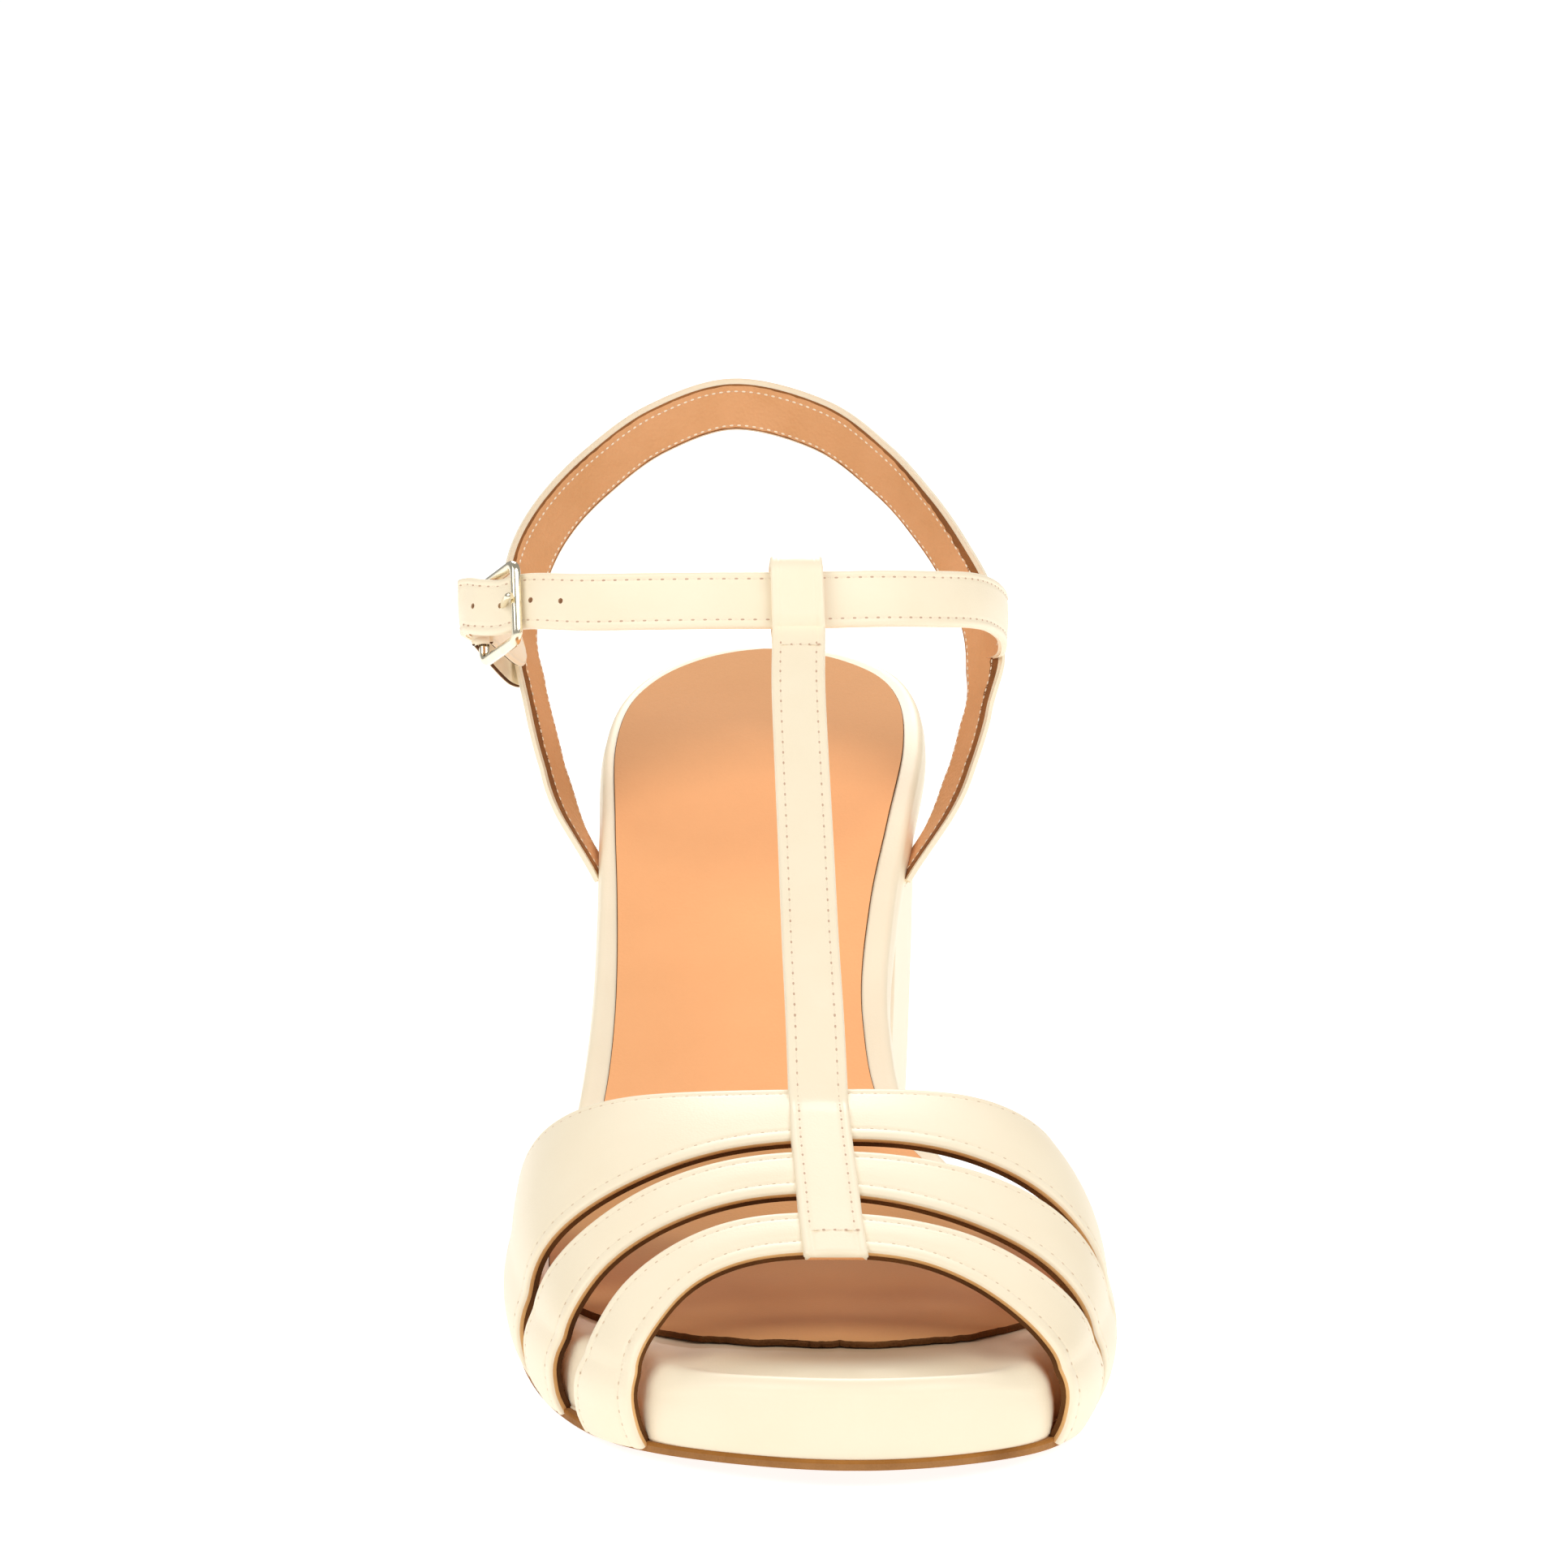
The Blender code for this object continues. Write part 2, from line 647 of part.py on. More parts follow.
def ankle_rows():
    """Ankle strap from the medial side, round the front and through the buckle to its free end."""
    reach = (BUCKLE_REAR_BAR - BUCKLE_FRONT_BAR).length
    points = [buckle_point(row.share * reach, row.rise, row.out) for row in THROUGH_BUCKLE]
    points += [tab_point(*row) for row in TAIL]
    rows = list(ANKLE_STRAP)
    for before, point, after in zip(points[:1] + points, points, points[1:] + points[-1:]):
        lean = lean_towards((after - before).normalized(), buckle_axes()[1])
        rows.append(Strap(*point, lean, STRAP_HALF_WIDTH, STRAP_HALF_WIDTH))
    return rows


def rod(name, centre, direction, diameter, length, collection, origin):
    """Straight round cutter."""
    built = bmesh.new()
    matrix = Matrix.Translation(centre) @ direction.to_track_quat("Z", "Y").to_matrix().to_4x4()
    bmesh.ops.create_cone(
        built, cap_ends=True, segments=12, radius1=diameter / 2, radius2=diameter / 2,
        depth=length, matrix=matrix)
    return add_object(name, to_mesh(name, built), None, collection, origin)


def punched_places():
    """Places along the ankle strap of its holes: the prong's, and others at an even pitch from it."""
    rows = ankle_rows()
    steps = 600
    points = [strap_frame(rows, i / steps)[0] for i in range(steps + 1)]
    crossing = buckle_point(PRONG_CROSSING, PRONG_RISE, 0)
    middle = min(range(steps + 1), key=lambda i: (points[i] - crossing).length)
    travelled = [0.0]
    for before, after in zip(points, points[1:]):
        travelled.append(travelled[-1] + (after - before).length)
    places = []
    for hole in range(-PUNCHES_EACH_WAY, PUNCHES_EACH_WAY + 1):
        wanted = travelled[middle] + hole * PUNCH_PITCH
        places.append(min(range(steps + 1), key=lambda i: abs(travelled[i] - wanted)) / steps)
    return places


def build_straps(finish, collection, cutters, origin):
    """Heel strap with the ankle strap cut in one with it, and the ankle strap's punched holes."""
    data = strap_sheet("heel_strap", HEEL_STRAP, 60)
    heel = add_object("ankle_and_heel_strap", data, finish, collection, origin)
    thicken(heel, STRAP_WALL, 0)
    rows = ankle_rows()
    ankle = add_object("ankle_strap", strap_sheet("ankle_strap", rows, 72), finish, cutters, origin)
    thicken(ankle, STRAP_WALL, 0)
    join(heel, ankle)
    for number, place in enumerate(punched_places(), 1):
        point, ahead, width, _, _ = strap_frame(rows, place)
        direction = ahead.cross(width)
        diameter = PUNCH_HOLE
        if number == PUNCHES_EACH_WAY + 1:
            path = prong_path()
            direction = path[-2] - path[-3]
            diameter = PRONG_WIRE + 3 * CLEARANCE
        hole = rod("punch_%d" % number, point, direction, diameter, 4 * STRAP_WALL, cutters, origin)
        join(heel, hole, "DIFFERENCE")


def prong_path():
    """Prong: an eye round the rear bar, then straight under the strap, through it and on to the front bar."""
    reach = (BUCKLE_REAR_BAR - BUCKLE_FRONT_BAR).length
    eye = BUCKLE_WIRE / 2 + CLEARANCE + PRONG_WIRE / 2
    first, step, count = PRONG_EYE_TURN
    angles = [math.radians(first + step * i) for i in range(count)]
    places = [(eye * math.cos(angle), eye * math.sin(angle)) for angle in angles]
    places.append(PRONG_DIP)
    places.append((-reach, eye))
    places.append((-reach - PRONG_OVERHANG[0], eye - PRONG_OVERHANG[1]))
    return [buckle_point(back, PRONG_RISE, out) for back, out in places]


def build_tab(finish, collection, cutters, origin):
    """Leather tab folded round the rear bar, its two ends sewn to both faces of the heel strap."""
    fold = BUCKLE_WIRE / 2 + CLEARANCE + TAB_WALL / 2
    spread = (STRAP_WALL + TAB_WALL) / 2 + TAB_SPREAD
    opens = (fold + spread) / 2
    flat, bend = TAB_LENGTH * TAB_FLAT_FROM, TAB_LENGTH * TAB_OPENS_FROM
    path = [(TAB_LENGTH, spread), (flat, spread), (bend, opens)]
    for step in range(9):
        angle = math.radians(90 + 22.5 * step)
        path.append((fold * math.cos(angle), fold * math.sin(angle)))
    path += [(bend, -opens), (flat, -spread), (TAB_INNER_LENGTH, -spread)]

    def place(u, v):
        along, out = path[round(u * (len(path) - 1))]
        rise = (v - 0.5) * TAB_WIDTH + TAB_RISE * max(along, 0) / TAB_LENGTH
        return tab_point(along, rise, out)

    tab = add_object("buckle_tab", sheet("buckle_tab", len(path) - 1, 2, place), finish, collection, origin)
    thicken(tab, TAB_WALL, 0)
    slot = bmesh.new()
    bmesh.ops.create_cube(slot, size=1.0)
    for vert in slot.verts:
        along, rise, out = vert.co
        vert.co = tab_point(
            along * PRONG_SLOT_LENGTH - PRONG_SLOT_AHEAD, rise * PRONG_SLOT, out * PRONG_SLOT_LENGTH)
    face_outwards(slot)
    join(tab, add_object("prong_slot", to_mesh("prong_slot", slot), None, cutters, origin), "DIFFERENCE")


def wire(name, points, thickness, closed, finish, collection, parent):
    """Round wire along a list of points."""
    data = bpy.data.curves.new(name, "CURVE")
    data.dimensions = "3D"
    data.bevel_depth = thickness / 2 * MM
    data.bevel_resolution = 2
    data.use_fill_caps = True
    spline = data.splines.new("POLY")
    spline.points.add(len(points) - 1)
    for knot, point in zip(spline.points, points):
        knot.co = (*(point * MM), 1.0)
    spline.use_cyclic_u = closed
    return add_object(name, data, finish, collection, parent)


def build_buckle(metal, collection, origin):
    """Wire frame of the buckle with rounded corners."""
    reach = (BUCKLE_REAR_BAR - BUCKLE_FRONT_BAR).length
    half = (BUCKLE_HEIGHT - BUCKLE_WIRE) / 2
    points = []
    for corner in range(4):
        middle_angle = math.radians(45 + 90 * corner)
        back = -reach / 2 + math.copysign(reach / 2 - BUCKLE_CORNER, math.cos(middle_angle))
        rise = math.copysign(half - BUCKLE_CORNER, math.sin(middle_angle))
        for step in range(5):
            angle = math.radians(90 * corner + 22.5 * step)
            points.append(buckle_point(
                back + BUCKLE_CORNER * math.cos(angle), rise + BUCKLE_CORNER * math.sin(angle), 0.0))
    wire("buckle_frame", points, BUCKLE_WIRE, True, metal, collection, origin)
    wire("buckle_prong", prong_path(), PRONG_WIRE, False, metal, collection, origin)


def main():
    """Builds every piece of the sandal."""
    for leftover in list(bpy.data.objects):
        bpy.data.objects.remove(leftover, do_unlink=True)
    shoe = bpy.data.collections.new("heeled_sandal")
    cutters = bpy.data.collections.new("cutters")
    for collection in (shoe, cutters):
        bpy.context.scene.collection.children.link(collection)
    origin = bpy.data.objects.new("shoe_origin", None)
    origin.location = -ORIGIN * MM
    shoe.objects.link(origin)

    cream = material("cream_leather", (0.87, 0.78, 0.62), 0.45)
    tan = material("tan_leather", (0.72, 0.42, 0.22), 0.55)
    brown = material("sole_leather", (0.25, 0.13, 0.07), 0.6)
    rubber = material("heel_rubber", (0.12, 0.08, 0.06), 0.7)
    metal = material("pale_gold", (0.85, 0.76, 0.58), 0.25, 1.0)

    build_footbed(cream, shoe, origin)
    build_outsole(brown, shoe, origin)
    build_sock(tan, shoe, origin)
    build_heel(cream, rubber, shoe, origin)
    build_vamp(cream, shoe, cutters, origin)
    build_straps(cream, shoe, cutters, origin)
    build_buckle(metal, shoe, origin)
    build_tab(cream, shoe, cutters, origin)


main()
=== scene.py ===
"""Looks of the heeled T-strap sandal: rolled leather bands, linings, stitches, buckle, light and camera.

Tables are in millimetres, measured from the toe tip backwards (from_toe) and sideways from the shoe's
middle line (negative lateral, positive medial). Pieces are laid out in these millimetres and moved into
the frame, in metres, when their mesh is made.
"""
import math
from bisect import bisect_right
from collections import namedtuple
from itertools import accumulate

import bmesh
import bpy
import numpy as np
from mathutils import Matrix, Vector, noise


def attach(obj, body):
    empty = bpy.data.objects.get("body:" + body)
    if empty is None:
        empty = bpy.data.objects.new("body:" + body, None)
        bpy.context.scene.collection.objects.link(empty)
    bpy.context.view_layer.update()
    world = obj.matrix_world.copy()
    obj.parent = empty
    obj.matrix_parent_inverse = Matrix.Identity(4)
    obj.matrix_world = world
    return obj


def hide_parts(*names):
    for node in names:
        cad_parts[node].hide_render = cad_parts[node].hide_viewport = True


MM = 0.001
ORIGIN = Vector((-4.28, 111.5, 0.0))


def table(columns, *rows):
    """Rows of values, with a name for each column."""
    kind = namedtuple("Row", columns)
    return tuple(kind(*row) for row in rows)


# Sizes shared with the solids
SHOE_LENGTH = 223.0
CLEARANCE = 0.3
LAST_CLEARANCE = 0.5
BAND_WALL = 1.6
STRAP_WALL = 1.7

# Plan and profile of the footbed
OUTLINE = table(
    "from_toe lateral medial",
    (0, 9, 9),
    (3, -4.5, 22),
    (11, -17.5, 32.8),
    (20, -25, 37.6),
    (30, -29.8, 40.2),
    (45, -34.4, 42.5),
    (62, -36.9, 41.6),
    (78, -37.1, 35.8),
    (92, -34.8, 28.4),
    (108, -32.2, 19.3),
    (128, -30.4, 16),
    (152, -30, 17.4),
    (170, -30.3, 20.2),
    (190, -30.4, 23),
    (204, -27.7, 22),
    (212, -23.4, 18.9),
    (219, -16, 11.5),
    (223, -3, -3),
)
PROFILE = table(
    "from_toe top footbed outsole margin dish rim_lateral rim_medial",
    (0, 14.4, 10.1, 1.2, -0.2, 0.0, 3.0, 3.5),
    (18, 12.7, 10.4, 1.2, 0.1, 0.0, 3.0, 3.5),
    (38, 12.0, 10.5, 1.2, 0.6, 0.0, 3.0, 3.5),
    (78, 12.0, 10.5, 1.2, 1.2, 0.4, 3.5, 4.0),
    (92, 15.2, 9.5, 1.3, 1.0, 0.8, 4.0, 4.2),
    (110, 22.6, 8.1, 1.5, 0.0, 1.0, 4.0, 4.2),
    (140, 38.6, 6.8, 2.0, -0.5, 1.0, 3.3, 4.2),
    (170, 55.5, 6.6, 2.0, -0.5, 1.6, 2.3, 3.8),
    (192, 66.0, 6.6, 2.0, -0.5, 2.2, 1.9, 3.4),
    (207, 71.5, 6.6, 2.0, -0.5, 2.0, 1.8, 2.8),
    (223, 76.8, 6.6, 2.0, -0.5, 0.2, 1.8, 2.6),
)

# The last over the toes, and the edges of the three bands round it
RIDGE = table(
    "from_toe crown lateral_squareness medial_squareness",
    (0, 15.5, 2.0, 2.0),
    (10, 18.4, 2.1, 2.1),
    (22, 22.8, 2.3, 2.3),
    (34, 27.7, 2.4, 2.4),
    (46, 32.5, 2.55, 2.45),
    (58, 36.6, 2.7, 2.6),
    (75, 41, 2.7, 2.7),
    (95, 46, 2.7, 2.7),
)
SIDE_SHARE = 0.055
SHOULDER_DROP = 1.5
BANDS = ("toe", "middle", "throat")
BAND_EDGES = table(
    "round toe_front toe_back middle_front middle_back throat_front throat_back",
    (0.00, 11.4, 22.5, 29.5, 41.5, 46.0, 78.0),
    (0.05, 11.9, 20.8, 27.6, 39.8, 44.5, 77.5),
    (0.15, 12.9, 20.6, 27.0, 37.8, 43.0, 74.0),
    (0.25, 15.8, 24.4, 30.0, 38.6, 42.6, 68.0),
    (0.35, 21.1, 28.9, 33.2, 41.4, 44.0, 62.8),
    (0.42, 23.9, 31.5, 35.3, 43.4, 46.0, 60.0),
    (0.50, 24.7, 32.3, 36.6, 45.0, 47.8, 59.2),
    (0.58, 24.0, 31.3, 34.8, 44.5, 48.2, 60.6),
    (0.65, 21.2, 30.0, 32.9, 43.9, 47.5, 62.8),
    (0.75, 16.7, 27.0, 30.6, 43.0, 46.0, 65.5),
    (0.85, 14.0, 25.4, 28.4, 41.8, 44.2, 70.0),
    (0.95, 13.9, 26.5, 28.8, 43.0, 45.5, 76.0),
    (1.00, 14.0, 28.5, 30.8, 45.5, 48.0, 77.5),
)
SHOULDER_SMOOTHING = (
    (-0.054, 1), (-0.036, 2), (-0.018, 3), (0.0, 4), (0.018, 3), (0.036, 2), (0.054, 1))
TUCK_REACH = 0.02
TUCK_DEPTH = 1.0
SIDE_SWELL = 0.9
SWELL_REACH = 0.084

# T-bar over the bands and up to the ankle strap, and its loop as rise along that strap's width and way out
BAR_WIDTH = 8.7
BAR_NARROWS = 0.5
BAR_SINK = 0.5
BAR_OVER_BANDS = table(
    "from_toe side", (22.6, 6.6), (29, 6.0), (35, 5.6), (41, 5.2), (47, 4.8), (52, 4.6), (57, 4.4))
BAR_FREE = table(
    "from_toe side height",
    (68, 4.0, 45.6),
    (82, 3.4, 54.6),
    (98, 2.8, 66.0),
    (112, 2.2, 76.8),
    (123, 1.8, 85.3),
)
BAR_LOOP = (
    (-5.6, 0.75), (-3.2, 1), (0, 1), (3.4, 1), (4.9, 0.75), (5.4, 0), (4.9, -0.75), (3, -1), (-2.5, -1),
    (-6.5, -0.2), (-11.0, -0.6))

# Straps: middle line, lean of the width from upright and half widths
STRAP_HALF_WIDTH = 4.5
HEEL_STRAP_HALF_WIDTH = 4.4
Strap = namedtuple(
    "Strap", "side from_toe height lean above below", defaults=(STRAP_HALF_WIDTH, STRAP_HALF_WIDTH))
HEEL_STRAP = tuple(Strap(*row, HEEL_STRAP_HALF_WIDTH, HEEL_STRAP_HALF_WIDTH) for row in (
    (-29.7, 165.0, 46.6, -72),
    (-35.2, 168.2, 55.6, -69),
    (-38.2, 171.2, 63.5, -60),
    (-40.4, 174.4, 71.3, -52),
    (-42.4, 178.4, 79.2, -44),
    (-44.0, 183.8, 87.4, -36),
    (-42.9, 189.8, 95.2, -30),
    (-39.0, 196.6, 102.2, -18),
    (-32.2, 204.4, 108.8, -11),
    (-22.2, 211.8, 115.4, -5),
    (-8.9, 216.0, 119.2, -2),
    (6.0, 211.8, 116.0, 0),
    (16.2, 204.4, 109.3, -1),
    (23.1, 196.6, 102.4, -3),
    (28.3, 189.8, 95.2, -7),
    (32.0, 183.8, 87.4, -21),
    (32.8, 178.4, 79.2, -45),
    (31.1, 174.4, 71.3, -56),
    (28.6, 171.2, 63.5, -66),
    (25.0, 168.2, 55.6, -72),
    (18.7, 165.0, 46.6, -75),
))
ANKLE_STRAP = (
    Strap(32.6, 184.0, 86.0, -11, 4.5, 6.5),
    Strap(35.2, 175, 87.4, -4, 4.5, 5.4),
    Strap(34.7, 166, 90.2, 4),
    Strap(32.4, 158, 92.9, 9),
    Strap(29.0, 151, 94.7, 14),
    Strap(23.0, 144, 95.9, 18),
    Strap(14.0, 138.2, 96.8, 20),
    Strap(1.6, 135, 97.0, 20),
    Strap(-10.5, 135.4, 96.9, 20),
    Strap(-22.0, 138, 96.4, 17),
    Strap(-31.5, 142, 95.7, 13),
)
PUNCH_HOLE = 0.9
PUNCH_PITCH = 6.2
PUNCH_DEPTH = 6.0
PUNCHES = range(-2, 2)

# Buckle: its bars, its own directions, its prong and its tab
BUCKLE_FRONT_BAR = Vector((-42.6, 147.5, 95.0))
BUCKLE_REAR_BAR = Vector((-48.6, 159.5, 89.4))
BUCKLE_RISE = Vector((-0.04, 0.39, 0.92))
BUCKLE_REACH = (BUCKLE_REAR_BAR - BUCKLE_FRONT_BAR).length
BUCKLE_BACK = (BUCKLE_REAR_BAR - BUCKLE_FRONT_BAR).normalized()
BUCKLE_UP = (BUCKLE_RISE - BUCKLE_BACK * BUCKLE_RISE.dot(BUCKLE_BACK)).normalized()
BUCKLE_OUT = BUCKLE_UP.cross(BUCKLE_BACK)
BUCKLE_HEIGHT = 14.0
BUCKLE_WIRE = 1.6
BUCKLE_CORNER = 1.6
WIRE_SQUARENESS = 0.7
PRONG_WIRE = 1.0
PRONG_CROSSING = -9.6
PRONG_RISE = 0.4
PRONG_DIP = (-4.0, -1.0)
PRONG_OVERHANG = (1.6, 0.2)
PRONG_EYE_TURN = (120, -24, 10)
PRONG_STEPS = 90
TAB_WALL = 0.8
TAB_WIDTH = 7.0
TAB_LENGTH = 25.5
TAB_INNER_LENGTH = 16.0
TAB_BULGE = 1.95
TAB_OUTER_LIES = 0.9
TAB_INNER_LIES = 1.6
TAB_TURN = 39.5
TAB_RISE = -2.5
TAB_CORNER = 3.4
TAB_TAPER = 9.0
TAB_FLAT_FROM = 0.7
TAB_OPENS_FROM = 0.35

# Ankle strap through the buckle, and its free end behind it
THROUGH_BUCKLE = table(
    "share rise out",
    (-1.0, 0.2, -2.2),
    (-0.62, 0.5, 0.6),
    (-0.32, 1.6, 2.5),
    (-0.07, 2.8, 2.9),
    (0.11, 3.1, 2.75),
)
TAIL = table("along rise out", (5.0, 3.6, 3.7), (12.0, 4.2, 4.3), (21.0, 5.2, 4.6), (30.0, 6.0, 4.6))

# Heel and the lift under it
HEEL_BREAST_TOP = 166.0
HEEL_BREAST_FOOT = 169.0
HEEL_BACK_TOP = 221.5
HEEL_BACK_FOOT = 215.0
HEEL_INSET = 1.5
HEEL_LEAST_HALF = 1.5
HEEL_FOOT_SCALE = 0.95
HEEL_BULGE = 0.25
HEEL_LEVELS = (0.02, 0.1, 0.25, 0.5, 0.75, 0.9, 0.98)
TOP_PIECE = 5.0
LIFT_GAP = 0.1

# How a strap is built: lining, amber line of painted shade on the rolled edge, inset of the lining, stitch
# rows and dark cuts at both edges
Make = namedtuple(
    "Make", "wall lining amber inset_low inset_high stitch_low stitch_high dark_low dark_high")
BAND_MAKE = Make(2.0, 0.85, 0.42, 0.12, 0.12, 1.9, 1.5, 0.4, 0.3)
BAR_MAKE = Make(1.6, 0.5, 0.0, 0.15, 0.15, 1.35, 1.35, 0.0, 0.0)
HEEL_STRAP_MAKE = Make(1.3, 0.3, 0.0, 0.2, 0.95, 0.6, 2.2, 0.25, 0.4)
ANKLE_STRAP_MAKE = Make(1.5, 0.5, 0.0, 0.2, 0.2, 1.35, 1.2, 0.0, 0.0)
TAB_MAKE = Make(TAB_WALL, 0.4, 0.0, 0.1, 0.1, 1.0, 1.0, 0.25, 0.25)
CREAM, AMBER, LINING, EDGE = 0, 1, 2, 3

# Section of a strap: rolled edge (way in, drop), trough of a stitch row (way, share), waves of the lining
ROLL_WIDTH = 0.8
ROLLED_EDGE = ((0.1, 0.28), (0.26, 0.12), (0.5, 0.04), (ROLL_WIDTH, 0.0))
TROUGH = ((-0.45, 0.1), (-0.22, 0.6), (0.0, 1.0), (0.22, 0.6), (0.45, 0.1))
TROUGH_FROM = 0.82
STITCH_TROUGH = 0.12
CROWN = 0.1
CROWN_STEPS = 4
LEAST_CUT = 0.05
LINING_WAVES = ((0.15, 1), (0.4, -1), (0.7, 1), (0.98, 0))
STRAP_STEP = 0.8
CURVE_SAMPLES = 1200
FINE_END = (0.03, 0.1, 0.2, 0.35, 0.55, 0.8, 1.1, 1.5, 2.0, 2.6)
END_ROLL = 0.6
BAR_CORNERS = (0.7, 1.2)
ANKLE_CORNER = 2.6
SHARP_FROM = math.radians(48)

# Dark cut along the heel strap's lining: wide and ragged on its medial shoulder and on its legs
HEEL_STRAP_CUT = table(
    "share high",
    (0.0, 1.1),
    (0.2, 1.0),
    (0.28, 0.5),
    (0.36, 0.3),
    (0.56, 0.3),
    (0.63, 0.5),
    (0.7, 1.1),
    (0.76, 1.7),
    (0.82, 1.3),
    (1.0, 1.1),
)
RAGGED = 0.5
RAGGED_SCALE = 0.9
LINING_WRINKLE = 0.07
WRINKLE_SCALE = 0.55

# Stitches: pitch, half length, half width and height of the thread, half sizes of the needle hole
Sewing = namedtuple("Sewing", "pitch length width height hole_length hole_width pin")
BAND_SEWING = Sewing(1.9, 0.5, 0.14, 0.05, 0.26, 0.15, "faint_pin_holes")
BAR_SEWING = Sewing(2.1, 0.6, 0.16, 0.06, 0.3, 0.2, "pin_holes")
STRAP_SEWING = Sewing(1.95, 0.5, 0.15, 0.06, 0.32, 0.16, "pin_holes")
LINING_SEWING = Sewing(1.3, 0.36, 0.15, 0.12, 0.12, 0.12, "pin_holes")
Stitch = namedtuple("Stitch", "middle ahead out")
CROSS_PITCH = 1.45
BEAD_RINGS = ((-0.5, 0.8), (0.25, 1.0), (0.8, 0.6))
HOLE_HEIGHT = 0.05
BAR_SEWN_FROM = 4.6
BAR_SEWN_TO = 129.8
ANKLE_SEWN_FROM = 10.0
ANKLE_END_UNSEWN = 2.0
LEAST_STITCH = 1.3
LINING_STITCH_IN = 0.2

# Footbed: radius of its wrapped edge, the padded lip at the toe and where the toe band presses it in
TOE_ROLL = 1.9
HEEL_ROLL = 1.3
ROLL_NARROWS = (70, 130)
PAD_END_ROLL = 2.9
PAD_END_DROP = 1.1
PAD_END_STARTS = (5, 12)
PAD_DROP_STARTS = (1.5, 11)
PAD_END_STOPS = (20, 28)
PAD_DROP_REACH = 3.5
LIP_RISE = 0.5
LIP_FROM_EDGE = 2.3
LIP_REACH = 1.7
LIP_END = 28.0
VALLEY_DEPTH = 2.0
VALLEY_FROM_EDGE = 7.0
VALLEY_REACH = 2.7
VALLEY_FADE = 0.6
VALLEY_FADES = (8, 18)
TOE_OVERLAP = 0.5
OVERLAP_FADES = (8, 30)
Pinch = namedtuple("Pinch", "from_toe depth reach")
LATERAL_PINCH = Pinch(19.5, 4.0, 5.0)
MEDIAL_PINCH = Pinch(21.0, 2.8, 4.6)
SOLE_WELT = 0.4
WELT_STARTS = (6, 16)
WELT_STOPS = (90, 110)
SEAT_GAP = 0.05
FOOTBED_TIP = 0.02
SOLE_TIP = 0.05

# Sock: its outline, how far it stands above the footbed and how its front edge was trimmed
SOCK_FRONT = 21.5
SOCK_BACK = 2.2
SOCK_TOE = 26.0
SOCK_TIP = 0.12
SOCK_SQUARENESS = 2.2
SOCK_CROWDING = 1.6
SOCK_STANDS = 1.1
SOCK_STANDS_BEHIND = 0.45
SOCK_SETTLES = (30, 70)
SOCK_FRONT_LIFT = 0.25
SOCK_SUNK = 0.2
SOCK_SINKS = (SOCK_FRONT + 4, SOCK_FRONT + 16)
TRIM_REACH = 16
TRIM_WAVES = ((0.22, 1.7, 1.1), (0.8, 4.2, 0.5), (2.3, 8.6, 0.3))

# Walls of the blocks: share of the way down, outset and finish of each level
FOOTBED_WALL = (
    (0.08, 0.12, 0), (0.22, 0.35, 0), (0.45, 0.45, 0), (0.7, 0.35, 0), (0.88, 0.1, 0), (0.97, -0.2, 0))
OUTSOLE_WALL = (
    (0.03, 0.0, 1), (0.1, 0.12, 1), (0.35, 0.16, 1), (0.45, 0.05, 0), (0.8, 0.1, 0), (0.96, 0.0, 0))
SOCK_WALL = ((0.03, 0.0, 1), (0.12, 0.1, 1), (0.4, 0.13, 1), (0.8, 0.05, 1))
LIFT_WALL = ((0.04, 0.0, 0), (0.2, 0.12, 0), (0.85, 0.12, 0), (0.97, 0.0, 0))

# Faces of the blocks across and along
FOOTBED_MESH = (48, 170)
OUTSOLE_MESH = (28, 130)
SOCK_MESH = (36, 170)
HEEL_MESH = (28, 60)
BAND_MESH = (400, 16)

# Leathers: colour, shade, roughness, grain per metre, depth of grain, specular, coat and sheen
LEATHERS = {
    "cream_leather": ((0.93, 0.81, 0.60), (0.92, 0.79, 0.575), 0.45, 2600.0, 0.05, 0.5, 0.06, 0.05),
    # amber painted shade where the bands' front edges roll over
    "edge_painted_shade": ((0.80, 0.47, 0.19), (0.66, 0.34, 0.11), 0.45, 2400.0, 0.1),
    "tan_leather": ((0.90, 0.44, 0.195), (0.88, 0.425, 0.185), 0.75, 1900.0, 0.1, 0.15),
    "sock_leather": ((0.95, 0.465, 0.205), (0.93, 0.45, 0.195), 0.75, 1900.0, 0.1, 0.15),
    # the strap lining is the tan leather darkened: its own tan with painted shade
    "strap_lining_and_shade": ((0.73, 0.372, 0.17), (0.66, 0.325, 0.135), 0.7, 1700.0, 0.25, 0.2),
    "cut_edge": ((0.15, 0.058, 0.016), (0.07, 0.025, 0.007), 0.75, 2200.0, 0.3, 0.1),
    "raw_edge": ((0.33, 0.13, 0.04), (0.20, 0.075, 0.022), 0.75, 2200.0, 0.4, 0.15),
    "thread": ((0.93, 0.80, 0.60), (0.88, 0.74, 0.54), 0.6, 4200.0, 0.3),
    "pin_holes": ((0.62, 0.42, 0.29), (0.55, 0.35, 0.23), 0.7, 3000.0, 0.1),
    "faint_pin_holes": ((0.74, 0.56, 0.38), (0.67, 0.49, 0.32), 0.7, 3000.0, 0.1),
    "punched_edge": ((0.66, 0.45, 0.28), (0.55, 0.35, 0.20), 0.7, 3000.0, 0.2),
    "sole_leather": ((0.42, 0.20, 0.07), (0.28, 0.12, 0.035), 0.8, 1500.0, 0.4, 0.15),
    "sole_edge": ((0.40, 0.165, 0.036), (0.26, 0.10, 0.02), 0.8, 1500.0, 0.4, 0.1),
    "heel_rubber": ((0.10, 0.065, 0.045), (0.07, 0.045, 0.03), 0.65, 2400.0, 0.25),
    "floor_paper": ((0.5, 0.5, 0.5), (0.49, 0.49, 0.49), 0.9, 900.0, 0.02, 0.0),
}
CLOUD_SCALE = 90.0
